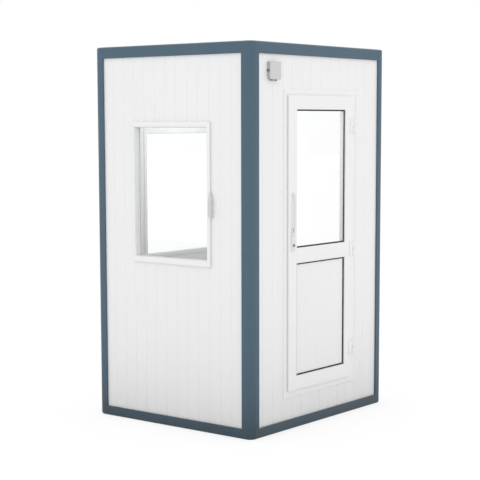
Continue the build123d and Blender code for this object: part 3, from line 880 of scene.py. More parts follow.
# %% Casings, beads, seals and trims
for side in WINDOW_SIDES:
    clear, casing = opening(side, f"{side}_window_glass"), opening(side, f"{side}_window_frame")
    face = side_box(side, f"{side}_window_frame")[0][1]
    front, back = (corner[1] for corner in side_box(side, f"{side}_window_glass"))
    rows = [(1, 0, WALL_FACE), (1, 0, face), (0, SLOPE_WIDTH, face), (0, 0, face + SLOPE_DEPTH),
            (0, 0, WALL_BACK), (0, LINER, WALL_BACK), (0, LINER, WALL_FACE)]
    frame_ring = mitred_ring(clear, softened(rows, CASING_RADII), bar_widths(clear, casing))
    beads = strips(clear, [strip_rows(BEAD, front - BEAD_DEPTH, front - SEAL, BEAD_TOE),
                           strip_rows(BEAD, back + SEAL, WALL_BACK - BEAD_SETBACK)], BEAD_RADIUS)
    seals = strips(clear, [strip_rows(BEAD, front - SEAL, front), strip_rows(BEAD, back, back + SEAL)],
                   SEAL_RADIUS)
    # The pale ring over the casing's outer side face is a seal whose grey also paints the shade on that face.
    shaded_seal_face = WALL_FACE - SHADED_SEAL
    shaded_seal = [(0, 0, shaded_seal_face), (0, SHADED_SEAL_PROUD, shaded_seal_face + SHADED_SEAL_EASE), (0, SHADED_SEAL_PROUD, WALL_FACE),
             (0, -SHADED_SEAL_LAP, WALL_FACE), (0, -SHADED_SEAL_LAP, shaded_seal_face)]
    trim_face = WALL_BACK + TRIM_PROUD
    trim = [(0, LINER, WALL_BACK), (0, 0, WALL_BACK), (0, 0, trim_face), (0, INNER_TRIM, trim_face),
            (0, INNER_TRIM, WALL_BACK)]
    make_piece(f"{side}_window_casing", frame_ring, *WHITE, side=side,
               stands_for=[f"{side}_window_frame"], bevel=WELD)
    make_piece(f"{side}_window_beads", beads, *WHITE, side=side, bevel=WELD)
    make_piece(f"{side}_window_shaded_seal", mitred_ring(casing, np.array(shaded_seal)), *PALE_SEAL, side=side)
    make_piece(f"{side}_window_seals", seals, *PALE_SEAL, side=side, bevel=SEAL_WELD)
    make_piece(f"{side}_window_trim", strips(clear, [trim], BEAD_RADIUS), *WHITE, side=side, bevel=WELD)

# %% [markdown]
# ## Window latches
# The latch is a pale grey moulded lever on the wall that laps over the casing and narrows at its tip.
# A cube under a Subdivision Surface would do, but its corners are hard to steer. Here the section is a
# superellipse, |x|ⁿ + |y|ⁿ = 1 with n near 6, which is a box with rounded corners. The width and the
# depth are functions of the height, so the whole lever is one grid.

# %% Latches
END_ROUNDING, END_TRIM = 0.02, 0.003
LATCH_WIDTH_SHARE, LATCH_SQUARENESS = 0.88, 0.35
TIP_START, TIP_LENGTH, TIP_NARROWING = 0.7, 0.25, 0.4
STEP_START, STEP_LENGTH, STEP_THINNING = 0.68, 0.2, 0.35
BLUNT_WIDTH, BLUNT_DEPTH = 0.1, 0.15


def squared_circle(angle, power):
    """Unit circle made squarer: sign × |cos|^power and sign × |sin|^power, so that n = 2 / power."""
    circle = np.stack([np.cos(angle), np.sin(angle)])
    return np.sign(circle) * np.abs(circle) ** power


def eased(t):
    """0 to 1 with level ends: 3t² - 2t³."""
    t = np.clip(t, 0, 1)
    return t * t * (3 - 2 * t)


def latch(low, high):
    """Lever between two corners: full size below, sloping to a narrow tip, its ends just rounded off."""
    end = END_ROUNDING * (1 - np.cos(np.linspace(0, np.pi / 2, 7)))
    t = np.concatenate([end, np.linspace(0.05, 0.95, 25)])
    t = np.unique(np.concatenate([t, 1 - t]))
    blunt = (1 - (1 - np.clip(np.minimum(t, 1 - t) / END_ROUNDING, 0, 1)) ** 2) ** 0.5
    narrow = 1 - TIP_NARROWING * np.clip((t - TIP_START) / TIP_LENGTH, 0, 1)
    shallow = 1 - STEP_THINNING * eased((t - STEP_START) / STEP_LENGTH)
    width = (high[0] - low[0]) * LATCH_WIDTH_SHARE * narrow * (1 - BLUNT_WIDTH + BLUNT_WIDTH * blunt)
    depth = (high[1] - low[1]) * shallow * (1 - BLUNT_DEPTH + BLUNT_DEPTH * blunt)
    square = squared_circle(np.linspace(0, 2 * np.pi, 32, endpoint=False), LATCH_SQUARENESS)
    u = low[0] + width[:, None] / 2 * (1 + square[0])
    d = high[1] - depth[:, None] / 2 * (1 - square[1])
    z = low[2] + END_TRIM + t * (high[2] - low[2] - 2 * END_TRIM)
    return loft(np.stack([u, d, np.broadcast_to(z[:, None], u.shape)], -1))


for side in WINDOW_SIDES:
    make_piece(f"{side}_window_lever", latch(*side_box(side, f"{side}_window_latch")), latch_plastic,
               "grey_plastic", side=side, stands_for=[f"{side}_window_latch"], sharp=50)

# %% [markdown]
# ## The door's surround
# Four mitred bars line the doorway. A bulb seal runs round them under the leaf's lip, a thin pale
# strip near the hinge jamb's outer edge is painted shade that stands in for the shadow line there, and a
# ribbed aluminium strip takes the wear of shoes on the threshold. Its ribs are a cosine in the strip's
# own outline, because a relief in the material alone would leave its ends flat.

# %% Surround and its bulb seal
head_low, head_high = side_box("front", "door_frame_head")
sill_low, sill_high = side_box("front", "door_frame_threshold")
doorway = (lock_high[0], sill_high[2]), (hinge_low[0], head_low[2])
surround_outline = (lock_low[0], sill_low[2]), (hinge_high[0], head_high[2])
SURROUND_FACE = lock_low[1]
SURROUND_RADII = (0.001, 0.003, 0.002, 0.002)
BULB_START, BULB_END, BULB_DEPTH, BULB_RADIUS = 0.007, 0.0135, 0.004, 0.0016

rows = [(1, 0, WALL_BACK), (1, 0, SURROUND_FACE), (0, 0, SURROUND_FACE), (0, 0, WALL_BACK)]
bars = mitred_bars(doorway, softened(rows, SURROUND_RADII), bar_widths(doorway, surround_outline))
for part, bar in zip(("threshold", "hinge_jamb", "head", "lock_jamb"), bars):
    front_piece(f"door_surround_{part}", bar, *WHITE, f"door_frame_{part}", bevel=WELD)
bulb_face = SURROUND_FACE - BULB_DEPTH
bulb = [(0, BULB_START, SURROUND_FACE), (0, BULB_START, bulb_face), (0, BULB_END, bulb_face),
        (0, BULB_END, SURROUND_FACE)]
front_piece("door_surround_seal", strips(doorway, [bulb], BULB_RADIUS), *PALE_SEAL, bevel=SEAL_WELD)

# %% Painted shade strip and threshold strip
SHADE_STRIP_INSET, SHADE_STRIP_WIDTH, SHADE_STRIP_PROUD, SHADE_STRIP_SUNK, SHADE_STRIP_TRIM = 0.009, 0.006, 0.0006, 0.001, 0.02
STRIP_FRONT, STRIP_REAR, STRIP_SIDE = 0.004, 0.003, 0.001
STRIP_HEIGHT, STRIP_RIB, STRIP_PITCH = 0.0016, 0.0007, 0.006

# This pale strip near the hinge jamb's outer edge is painted shade: its grey stands in for the shadow line
# along the surround.
shade_strip_end = hinge_high[0] - SHADE_STRIP_INSET
shade_strip = block((shade_strip_end - SHADE_STRIP_WIDTH, SURROUND_FACE - SHADE_STRIP_PROUD, sill_low[2] + SHADE_STRIP_TRIM),
              (shade_strip_end, SURROUND_FACE + SHADE_STRIP_SUNK, head_high[2] - SHADE_STRIP_TRIM))
front_piece("door_surround_shade_strip", shade_strip, *PALE_SEAL, bevel=SHADE_STRIP_PROUD / 2)

(strip_left, strip_foot), (strip_right, _) = doorway
rib_d = np.linspace(SURROUND_FACE + STRIP_FRONT, WALL_BACK - STRIP_REAR, 97)
rib_z = strip_foot + STRIP_HEIGHT + STRIP_RIB * np.cos((rib_d - rib_d[0]) * 2 * np.pi / STRIP_PITCH)
strip = np.vstack([np.column_stack([rib_d, rib_z]), [(rib_d[-1], strip_foot), (rib_d[0], strip_foot)]])
front_piece("threshold_strip", swept(strip, 0, (strip_left + STRIP_SIDE, strip_right - STRIP_SIDE)),
            threshold_metal, "lock_metal", sharp=50)

# %% [markdown]
# ## The door leaf
# The leaf's profile has a lip that laps over the surround and a deeper core inside it. Stiles and
# rails meet in mitres, and the middle rail is fitted between the stiles. The upper opening is glazed
# and the lower one takes a lined panel. Black rubber shows all round both, and a sloping bead holds
# each from indoors. The rubber could be a black stripe on the frame, but as rings of their own the
# gaskets stand a little proud, and their soft edge catches light.

# %% Stiles and rails
LIP, CORE_INSET = 0.009, 0.023
LEAF_RADII, MID_RAIL_RADIUS, STILE = (0.002, 0.003, 0.001, 0.001, 0.002, 0.002), 0.002, 0.09
leaf = opening("front", "door_leaf_frame")
panes = {node: opening("front", node) for node in ("door_glass", "door_panel")}
LEAF_FACE, LEAF_BACK = (corner[1] for corner in side_box("front", "door_leaf_frame"))
LIP_BACK = LEAF_FACE + LIP
whole = (panes["door_panel"][0], panes["door_glass"][1])
MID_FOOT, MID_TOP = panes["door_panel"][1][1], panes["door_glass"][0][1]

rows = [(0, 0, LEAF_FACE), (1, 0, LEAF_FACE), (1, 0, LIP_BACK), (1, -CORE_INSET, LIP_BACK),
        (1, -CORE_INSET, LEAF_BACK), (0, 0, LEAF_BACK)]
outer_ring = mitred_ring(whole, softened(rows, LEAF_RADII, STILE), bar_widths(whole, leaf))
mid_rows = softened([(0, MID_FOOT, LEAF_FACE), (0, MID_TOP, LEAF_FACE), (0, MID_TOP, LEAF_BACK),
                     (0, MID_FOOT, LEAF_BACK)], MID_RAIL_RADIUS)
mid_rail = swept(mid_rows[:, [2, 1]], 0, (whole[0][0], whole[1][0]))
leaf_piece("door_leaf_profiles", joined([outer_ring, mid_rail]), *WHITE, "door_leaf_frame", bevel=WELD)

# %% Gaskets, beads and the lined panel
GASKET, SIDE_GASKET, GASKET_PROUD, GASKET_RADIUS = 0.0095, 0.012, 0.004, 0.0012
REAR_SEAL, REAR_PROUD, BEAD_TIP = 0.004, 0.003, 0.002
PANEL_PITCH, PANEL_GROOVE_WIDTH, PANEL_GROOVE_DEPTH = 0.0925, 0.006, 0.0015


def gasket(pane, upright, level, start, end):
    """Soft ring round a pane from depth start to end: upright wide at its sides, level wide above
    and below."""
    rows = softened([(0, 0, start), (-1, 0, start), (-1, 0, end), (0, 0, end)], GASKET_RADIUS, level)
    return mitred_ring(pane, rows, (upright, upright, level, level))


gaskets, rear_seals, beads = [], [], []
for node, pane in panes.items():
    front, back = (corner[1] for corner in side_box("front", node))
    side_gasket = GASKET if node == "door_glass" else SIDE_GASKET
    bead_start = back + REAR_PROUD
    gaskets.append(gasket(pane, side_gasket, GASKET, front - GASKET_PROUD, front))
    rear_seals.append(gasket(pane, REAR_SEAL, REAR_SEAL, back, bead_start))
    bead = strip_rows(BEAD_TIP, bead_start, bead_start + BEAD_DEPTH, REAR_SEAL)
    beads.append(strips(pane, [bead], BEAD_RADIUS))
leaf_piece("door_rubber", joined(gaskets), *DARK_SEAL, "door_gaskets", bevel=SEAL_WELD)
leaf_piece("door_rear_seals", joined(rear_seals), *PALE_SEAL, bevel=SEAL_WELD)
leaf_piece("door_beads", joined(beads), *WHITE, bevel=WELD)

low, high = side_box("front", "door_panel")
lines = (low[0] + high[0]) / 2 + PANEL_PITCH * np.arange(-2.5, 3)
lined = grooved_plate(low, high, lines, width=PANEL_GROOVE_WIDTH, depth=PANEL_GROOVE_DEPTH)
leaf_piece("door_lined_panel", lined, wall_skin, "white_plastic", "door_panel", sharp=GROOVE_SHARP)

# %% [markdown]
# ## Handles and lock
# Each pull handle is a flat backplate and a grip. The grip's centre line is a superellipse arc,
# (z/L)⁵ + (d/s)⁵ = 1: it leaves the door squarely, turns on a short radius and runs straight between.
# An oval section is carried along that line, as a bevelled curve object would do it, but with a frame
# that cannot twist: its side vector is always u. Outside, a grey lock cylinder sits in the backplate,
# and its keyway is a narrow black slot.

# %% Screws, handles and cylinder
SCREW_RISE = 0.0018
PLATE_HEIGHT, PLATE_THICKNESS, PLATE_SQUARENESS = 0.150, 0.008, 0.28
GRIP_START, GRIP_HALF_WIDTH, GRIP_HALF_DEPTH, GRIP_SQUARENESS = 0.112, 0.007, 0.005, 0.4


def screw(centre, radius, outwards=-1):
    """Pan-head screw along d: a low dome with a round recess in its middle."""
    profile = np.array([(0, 0), (0, 1), (0.6, 1), (1.1, 0.8), (1.3, 0.42), (0.5, 0.34), (0.5, 0)])
    return turned(profile * (outwards * SCREW_RISE, radius), centre, "d", 20)


def backplate(low, high, wall, outwards):
    """Flat plate on the door from depth wall: a superellipse that is almost a rectangle."""
    corner = squared_circle(np.linspace(0, 2 * np.pi, 48, endpoint=False), PLATE_SQUARENESS)
    u = (low[0] + high[0]) / 2 + (high[0] - low[0]) / 2 * corner[0]
    z = low[2] + PLATE_HEIGHT / 2 * (1 + corner[1])
    return swept(np.column_stack([u, z]), 1, sorted((wall, wall + outwards * PLATE_THICKNESS)))


def grip(low, high, wall, outwards):
    """Oval section carried along a superellipse arc that starts and ends at depth wall."""
    foot, top = low[2] + GRIP_START + GRIP_HALF_WIDTH, high[2] - GRIP_HALF_WIDTH
    arc = squared_circle(np.linspace(0, np.pi, 61), GRIP_SQUARENESS)
    z = (foot + top) / 2 - (top - foot) / 2 * arc[0]
    d = wall + outwards * (high[1] - low[1] - GRIP_HALF_DEPTH) * arc[1]
    path = np.column_stack([np.full(z.size, (low[0] + high[0]) / 2), d, z])
    tangent = np.gradient(path, axis=0)
    tangent /= np.linalg.norm(tangent, axis=1)[:, None]
    across = np.array([1.0, 0, 0])
    normal = np.cross(across, tangent)
    angle = np.linspace(0, 2 * np.pi, 20, endpoint=False)[None, :, None]
    return loft(path[:, None] + GRIP_HALF_WIDTH * np.cos(angle) * across
                + GRIP_HALF_DEPTH * np.sin(angle) * normal[:, None])


def key_cylinder(low, high):
    """Round cylinder with a raised rim, turned about d."""
    centre = ((low[0] + high[0]) / 2, high[1], (low[2] + high[2]) / 2)
    radius, proud = (high[0] - low[0]) / 2, high[1] - low[1]
    profile = np.array([(0, 0), (0, 1), (0.8, 1), (1, 0.9), (1, 0.78), (0.72, 0.74), (0.72, 0)])
    return turned(profile * (-proud, radius), centre, "d", 40)


print("a grip is", 2000 * GRIP_HALF_WIDTH, "by", 2000 * GRIP_HALF_DEPTH, "mm thick")

# %% Handles and lock on the leaf
PLATE_SCREW_HEIGHTS, PLATE_SCREW_RADIUS = (0.014, 0.100), 0.0035
KEYWAY_HALF, KEYWAY_DEPTH = np.array([0.0008, 0.0003, 0.0042]), 0.0014
for where, outwards in (("outside", -1), ("inside", 1)):
    node = f"door_handle_{where}"
    low, high = side_box("front", node)
    wall = high[1] if outwards < 0 else low[1]
    pull = joined([backplate(low, high, wall, outwards), grip(low, high, wall, outwards)])
    leaf_piece(f"door_pull_{where}", pull, handle_coat, "handle_metal", node, bevel=0.0015, sharp=50)
    middle, plate_face = (low[0] + high[0]) / 2, wall + outwards * PLATE_THICKNESS
    heads = joined([screw((middle, plate_face, low[2] + rise), PLATE_SCREW_RADIUS, outwards)
                    for rise in PLATE_SCREW_HEIGHTS])
    leaf_piece(f"door_pull_screws_{where}", heads, *ZINC)

low, high = side_box("front", "lock_cylinder")
leaf_piece("door_key_cylinder", key_cylinder(low, high), lock_dark, "lock_metal", "lock_cylinder")
keyway = np.array([(low[0] + high[0]) / 2, low[1] + KEYWAY_DEPTH, (low[2] + high[2]) / 2])
leaf_piece("door_keyway", block(keyway - KEYWAY_HALF, keyway + KEYWAY_HALF), black_rubber, "lock_metal",
           bevel=0.0002)

# %% [markdown]
# ## Hinges
# Three hinges carry the leaf. The lower knuckle of each belongs to the surround and holds the pin,
# and the upper knuckle belongs to the leaf and turns on it. Plain cylinders would do for the pins'
# barrels, but a turned profile also gives the eased rim and the domed cap. The flaps' screws have
# white heads.

# %% A knuckle
axis_x, axis_y, _ = frame["joints"][0]["pos_m"]
AXIS_U, AXIS_D = axis_x, axis_y + HALF_DEPTH
KNUCKLE, KNUCKLE_EASE, DOME, CAP_SHARE = 0.009, 0.001, 0.003, 0.35
HALF_HINGE, GAP, FLAP, PLATE = 0.050, 0.001, 0.034, 0.004
FLAP_CLEARANCE, TONGUE_TRIM, TONGUE_LAP = 0.002, 0.002, 0.001
HINGE_FROM_ENDS, HINGE_SCREW_RADIUS, HINGE_SCREW_EDGE = 0.2, 0.004, 0.010
HINGE_SCREW_RISES = (-0.034, 0.034)


def knuckle(start, end, cap):
    """Turned knuckle between two heights, domed by a short arc at the end named by cap."""
    length = end - start
    rim = [(0, 0), (0, KNUCKLE - KNUCKLE_EASE), (KNUCKLE_EASE, KNUCKLE)]
    arc = np.linspace(0, np.pi / 2, 7)
    radii = KNUCKLE * (CAP_SHARE + (1 - CAP_SHARE) * np.cos(arc))
    dome = np.column_stack([length - DOME + DOME * np.sin(arc), radii])
    profile = np.vstack([rim, dome, [(length, 0)]])
    if cap == "foot":
        profile = np.column_stack([length - profile[:, 0], profile[:, 1]])
    return turned(profile, (AXIS_U, AXIS_D, start), "z", 32)


print("the door turns about u", round(AXIS_U, 3), "and d", round(AXIS_D, 3))

# %% The three hinges
leaf_edge = leaf[1][0]
frame_plate, leaf_plate = SURROUND_FACE - PLATE, LEAF_FACE - PLATE
fixed, moving, fixed_screws, moving_screws = [], [], [], []
for height in (leaf[0][1] + HINGE_FROM_ENDS, (MID_FOOT + MID_TOP) / 2, leaf[1][1] - HINGE_FROM_ENDS):
    foot_z, top_z = height - HALF_HINGE, height + HALF_HINGE
    tongue_end = (AXIS_U + KNUCKLE - KNUCKLE_EASE, SURROUND_FACE, height - GAP - TONGUE_TRIM)
    fixed += [
        knuckle(foot_z, height - GAP, "foot"),
        block((AXIS_U + FLAP_CLEARANCE, frame_plate, foot_z), (AXIS_U + FLAP, SURROUND_FACE, top_z)),
        block((AXIS_U, AXIS_D, foot_z + TONGUE_TRIM), tongue_end),
    ]
    moving += [
        knuckle(height + GAP, top_z, "top"),
        block((leaf_edge - FLAP, leaf_plate, foot_z), (leaf_edge, LEAF_FACE, top_z)),
        block((leaf_edge - TONGUE_LAP, leaf_plate, height + GAP + TONGUE_TRIM),
              (AXIS_U, LEAF_FACE, top_z - TONGUE_TRIM)),
    ]
    for z in (height + rise for rise in HINGE_SCREW_RISES):
        fixed_screws.append(screw((AXIS_U + FLAP - HINGE_SCREW_EDGE, frame_plate, z), HINGE_SCREW_RADIUS))
        moving_screws.append(screw((leaf_edge - FLAP / 2, leaf_plate, z), HINGE_SCREW_RADIUS))
front_piece("door_hinges_fixed", joined(fixed), *WHITE, "hinges_frame_side", bevel=0.0008, sharp=50)
leaf_piece("door_hinges_moving", joined(moving), *WHITE, "hinges_leaf_side", bevel=0.0008, sharp=50)
front_piece("door_hinge_screws_fixed", joined(fixed_screws), *WHITE_SCREW)
leaf_piece("door_hinge_screws_moving", joined(moving_screws), *WHITE_SCREW)

# %% [markdown]
# ## The cable inlet box
# Power comes in through a small moulded box. Its outline is a rectangle with its lower corners cut
# off, carried inwards for the box and again, slightly larger, for the lid. Repeating the outline at
# smaller sizes gives the lid its step and slope in one go, where a bevelled box would need a second
# piece. Two cable glands hang below: a six-sided nut, a round dome and an open throat. A round plug
# closes the hole in its side.

# %% Inlet box and lid
box_low, box_high = side_box("front", "inlet_box")
lid_low, lid_high = side_box("front", "inlet_lid")
INLET_CHAMFER, CASE_DRAW_IN = 0.008, 0.0015
LID_STEPS = [(0.003, 0), (0.0013, 0.002), (0.0013, 0.009), (0, 0.0105)]
LID_SCREW_EDGE, LID_SCREW_SUNK, LID_SCREW_RADIUS = 0.016, 0.0025, 0.0032


def chamfered(low, high, draw_in):
    """Closed outline in (u, z) with its two lower corners cut off, drawn in all round."""
    (u0, _, z0), (u1, _, z1) = low, high
    u0, u1, z0, z1 = u0 + draw_in, u1 - draw_in, z0 + draw_in, z1 - draw_in
    cut = INLET_CHAMFER
    return np.array([(u0, z0 + cut), (u0 + cut, z0), (u1 - cut, z0), (u1, z0 + cut), (u1, z1), (u0, z1)])


def pressed(low, high, steps):
    """Solid through that outline at (depth, draw-in) steps."""
    outlines = [np.insert(chamfered(low, high, draw_in), 1, depth, axis=1) for depth, draw_in in steps]
    return loft(np.stack(outlines))


case = pressed(box_low, box_high, [(box_low[1], CASE_DRAW_IN), (box_high[1], CASE_DRAW_IN)])
front_piece("inlet_case", case, box_plastic, "box_plastic", "inlet_box", bevel=0.002, sharp=35)
lid_steps = [(lid_high[1], 0)] + [(lid_low[1] + rise, inset) for rise, inset in LID_STEPS]
front_piece("inlet_cover", pressed(lid_low, lid_high, lid_steps), lid_plastic, "box_plastic", "inlet_lid",
            bevel=0.0012, sharp=25)
corners = [(u, z) for u in (lid_low[0] + LID_SCREW_EDGE, lid_high[0] - LID_SCREW_EDGE)
           for z in (lid_low[2] + LID_SCREW_EDGE, lid_high[2] - LID_SCREW_EDGE)]
heads = joined([screw((u, lid_low[1] + LID_SCREW_SUNK, z), LID_SCREW_RADIUS) for u, z in corners])
front_piece("inlet_cover_screws", heads, *ZINC)

# %% Glands and plug
GLAND_PITCH, GLAND_RADIUS, PLUG_RADIUS = 0.042, 0.009, 0.009
NUT_HEIGHT, GLAND_SUNK, THROAT_DEPTH = 0.004, 0.0015, 0.002
inlet_u, inlet_d, inlet_z = (box_low + box_high) / 2
gland_end = side_box("front", "inlet_glands")[0][2] - box_low[2]
nut = [(0, 0), (0, 0.97), (-NUT_HEIGHT, 0.97), (-NUT_HEIGHT, 0)]
dome = [(-0.003, 0), (-0.003, 0.85), (0.75 * gland_end, 0.8), (0.95 * gland_end, 0.62), (gland_end, 0.5),
        (gland_end + THROAT_DEPTH, 0.4), (gland_end + THROAT_DEPTH, 0)]
glands = []
for step in (-1, 1):
    top = (inlet_u + step * GLAND_PITCH / 2, inlet_d, box_low[2] + GLAND_SUNK)
    glands += [turned(np.array(profile) * (1, GLAND_RADIUS), top, "z", segments)
               for profile, segments in ((nut, 6), (dome, 28))]
plug_profile = np.array([(0.001, 0), (0.001, 1), (-0.002, 1), (-0.0035, 0.85), (-0.0047, 0.5), (-0.005, 0)])
side_plug = turned(plug_profile * (1, PLUG_RADIUS), (box_low[0], inlet_d, inlet_z), "u", 32)
front_piece("inlet_plug", side_plug, *GREY_RUBBER, bevel=0.0004)
front_piece("inlet_cable_glands", joined(glands), *GREY_RUBBER, "inlet_glands", bevel=0.0004)

# %% [markdown]
# ## The roof
# Inside the top ring lies a flat insulated panel. Its outer skin has low ribs that carry water to the
# rim: across x, each rises along a straight flank, runs flat and falls again. An Array modifier could
# repeat one rib, but one outline swept along y keeps the sheet a single closed skin. A concave bead of
# sealant closes the gap to the ring.

# %% Roof panel and sealant
low, high = node_box("roof_panel")
ceiling_z = low[2]
RIB_PITCH, RIB_HEIGHT, RIB_TOP, RIB_FLANK = 0.224, 0.009, 0.024, 0.008
SEALANT_SIZE, SEALANT_RISE, SEALANT_SUNK = 0.011, 0.0018, 0.001
rib_middles = (np.arange(6) - 2.5) * RIB_PITCH
rib_reach = RIB_TOP / 2 + RIB_FLANK
bends = np.array([-rib_reach, -RIB_TOP / 2, RIB_TOP / 2, rib_reach])
xs = np.unique(np.concatenate([[low[0], high[0]], (rib_middles[:, None] + bends).ravel()]))
near = np.abs(xs[:, None] - rib_middles).min(1)
rise = RIB_HEIGHT * np.clip((rib_reach - near) / RIB_FLANK, 0, 1)
outline = np.vstack([np.column_stack([xs, high[2] + rise]), [(high[0], low[2]), (low[0], low[2])]])
make_piece("roof_sheet", swept(outline, 1, (low[1], high[1])), roof_coat, "roof_sheet",
           stands_for=["roof_panel"], bevel=0.0015, sharp=20)

arc = np.linspace(0, np.pi / 2, 7)
concave = np.column_stack([WALL_BACK + SEALANT_SIZE * (1 - np.sin(arc)),
                           high[2] + SEALANT_RISE + SEALANT_SIZE * (1 - np.cos(arc))])
bead_foot = high[2] - SEALANT_SUNK
bead = np.vstack([concave, [(WALL_BACK, bead_foot), (WALL_BACK + SEALANT_SIZE, bead_foot)]])
for side in TURNS:
    reach = HALF_LENGTH[side] - WALL_BACK
    make_piece(f"roof_sealant_{side}", swept(bead, 0, (-reach, reach)), sealant, "roof_sheet",
               side=side, sharp=50)

# %% [markdown]
# ## Indoors
# Through the glass one sees a vinyl floor with a coved skirting, small trims where the walls meet
# each other and the ceiling, and the grooved inner skins, which the walls already have. Each trim is
# a short outline swept along its wall. Their ends run into each other in the corners, where a mitre
# would never be seen.

# %% Vinyl, skirting and corner trims
VINYL, TRIM_BEVEL, TRIM_SHARP = 0.002, 0.001, 30
SKIRTING_HEIGHT, COVE, CORNER_TRIM, CORNER_EDGE = 0.062, 0.022, 0.02, 0.15
deck_low, deck_high = node_box("floor_deck")
floor_z = deck_high[2] + VINYL
vinyl_sheet = block((deck_low[0], deck_low[1], deck_high[2]), (deck_high[0], deck_high[1], floor_z))
make_piece("floor_covering", vinyl_sheet, floor_vinyl, "floor_board", bevel=0.0005, sharp=TRIM_SHARP)

skirting = np.array([(0, 0), (0.016, 0), (0.009, 0.008), (0.007, 0.058), (0, SKIRTING_HEIGHT)])
skirting += (WALL_BACK, floor_z)
cove = np.array([(0, 0), (0, -COVE), (0.004, -COVE), (COVE, -0.004), (COVE, 0)]) + (WALL_BACK, ceiling_z)
for side in TURNS:
    reach = HALF_LENGTH[side] - WALL_BACK
    stretches = [(-reach, reach)]
    if side == "front":
        stretches = [(-reach, door_hole[0][0]), (door_hole[1][0], reach)]
    make_piece(f"skirting_{side}", joined([swept(skirting, 0, ends) for ends in stretches]), seal_grey,
               "white_plastic", side=side, bevel=TRIM_BEVEL, sharp=TRIM_SHARP)
    make_piece(f"ceiling_trim_{side}", swept(cove, 0, (-reach, reach)), *WHITE,
               side=side, bevel=TRIM_BEVEL, sharp=TRIM_SHARP)

plan = np.array([(0, 0), (1, 0), (1, CORNER_EDGE), (CORNER_EDGE, 1), (0, 1)]) * CORNER_TRIM
inner_corner = np.array([HALF_WIDTH, HALF_DEPTH]) - WALL_BACK
trim_ends = (floor_z + SKIRTING_HEIGHT, ceiling_z - COVE)
for corner in CORNER_TURNS:
    upright = swept((inner_corner - plan) * corner_signs(corner), 2, trim_ends)
    make_piece(f"room_corner_{corner}", upright, *WHITE, bevel=TRIM_BEVEL, sharp=TRIM_SHARP)

# %% [markdown]
# ## Floor, light and camera
# The stage is one big pale floor under an even white sky. Rays that the camera sees directly, in a
# reflection or through glass get plain white, so the background is clean. Rays that carry light find
# a slightly darker ground, which shades the foot of the walls as a real yard does. The floor mixes a
# little of its true, shaded surface back in, so that the booth keeps its soft shadow. Daylight alone
# leaves the room dim, so a weak, soft round lamp hangs in its middle, and the camera can't see it.

# %% The stage
SHADOW_SHARE = 0.25
GROUND_TONE = (0.84, 0.84, 0.84, 1)
STAGE_HALF, STAGE_DROP = 60.0, 0.0004


def stage_floor():
    """Pale floor: white with a soft shadow to what sees it, and a plain diffuse ground to light."""
    made, tree, shader = new_material("Stage floor")
    grain = noise(tree, stretched(tree, 1, 1, 1), 3.0, 4.0)
    plug(tree, shader, {"Base Color": (1, 1, 1, 1), "Roughness": ranged(tree, grain, 0.3, 0.7, 0.9, 1.0),
                        "Specular IOR Level": 0.0})
    white = add(tree, "Emission", {"Color": (1, 1, 1, 1), "Strength": 1.0})
    seen = add(tree, "MixShader", {0: SHADOW_SHARE, 1: white.outputs[0], 2: shader.outputs[0]})
    path = add(tree, "LightPath").outputs
    looks = calc(tree, "MAXIMUM", path["Is Camera Ray"], path["Is Glossy Ray"])
    sees = calc(tree, "MAXIMUM", looks, path["Is Transmission Ray"])
    chosen(tree, sees, add(tree, "BsdfDiffuse", {"Color": GROUND_TONE}), seen)
    return made


stage_mesh = bpy.data.meshes.new("stage_floor")
stage_corners = np.array([(-1, -1), (1, -1), (1, 1), (-1, 1)]) * STAGE_HALF
stage_mesh.from_pydata(np.insert(stage_corners, 2, -STAGE_DROP, axis=1).tolist(), [], [(0, 1, 2, 3)])
stage_mesh.materials.append(stage_floor())
placed("stage_floor", stage_mesh)
print("stage", 2 * STAGE_HALF, "m wide")

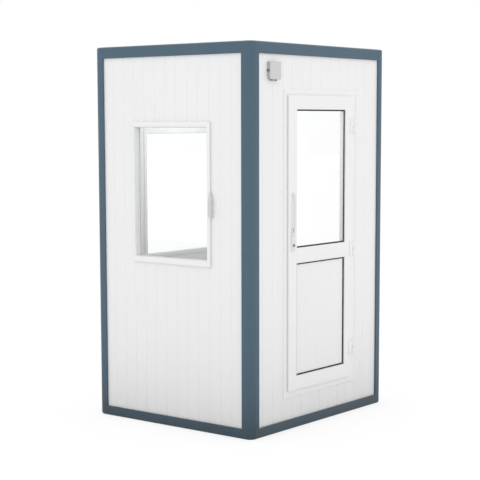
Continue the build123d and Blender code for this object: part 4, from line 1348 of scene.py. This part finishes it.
# %% Sky and room light
SKY_LEVEL = 1.1
ROOM_WATTS, ROOM_LAMP_HEIGHT, ROOM_LAMP_RADIUS = 8.0, 2.1, 0.25
world = bpy.data.worlds.new("Soft white studio")
world.use_nodes = True
bpy.context.scene.world = world
sky = next(node for node in world.node_tree.nodes if node.type == "BACKGROUND")
diffuse = add(world.node_tree, "LightPath").outputs["Is Diffuse Ray"]
strength = add(world.node_tree, "MapRange", {"Value": diffuse, "To Min": 1.0, "To Max": SKY_LEVEL})
plug(world.node_tree, sky, {"Color": (1, 1, 1, 1), "Strength": strength.outputs[0]})
bpy.context.scene.view_settings.view_transform = "Standard"

room_light = bpy.data.lights.new("Room light", "POINT")
room_light.shadow_soft_size = ROOM_LAMP_RADIUS
room_light.energy = ROOM_WATTS
lamp = placed("room_light", room_light)
lamp.location = (0, 0, ROOM_LAMP_HEIGHT)
lamp.visible_camera = lamp.visible_glossy = lamp.visible_transmission = False
print("sky", SKY_LEVEL, "room light", ROOM_WATTS, "W")

# %% [markdown]
# The camera stands off the corner between the window side and the door side, a little above eye
# height, with a long lens, so that the uprights stay almost parallel. The picture's window is slid
# up a little (shift), which lets the camera look down slightly more with the booth still centred.

# %% Camera
YAW, PITCH, ROLL = (math.radians(angle) for angle in (51.641, 6.634, -0.131))
CAMERA_PLACE = Vector((-7.3425, -5.7877, 2.0048))
FOCAL_LENGTH, SENSOR_WIDTH, RAISED_FRAME, FARTHEST = 101.09, 36.0, 0.08, 200.0

forward = Vector((math.sin(YAW) * math.cos(PITCH), math.cos(YAW) * math.cos(PITCH), -math.sin(PITCH)))
level = Vector((math.cos(YAW), -math.sin(YAW), 0))
upright = level.cross(forward)
right = level * math.cos(ROLL) + upright * math.sin(ROLL)
above = upright * math.cos(ROLL) - level * math.sin(ROLL)
turn = Matrix((right, above, -forward)).transposed().to_4x4()
camera = placed("camera", bpy.data.cameras.new("camera"))
camera.data.lens = FOCAL_LENGTH
camera.data.sensor_width = SENSOR_WIDTH
camera.data.shift_y = RAISED_FRAME
camera.data.clip_end = FARTHEST
camera.matrix_world = Matrix.Translation(CAMERA_PLACE) @ turn
bpy.context.scene.camera = camera
print("camera", [round(v, 3) for v in CAMERA_PLACE], "lens", FOCAL_LENGTH, "mm")
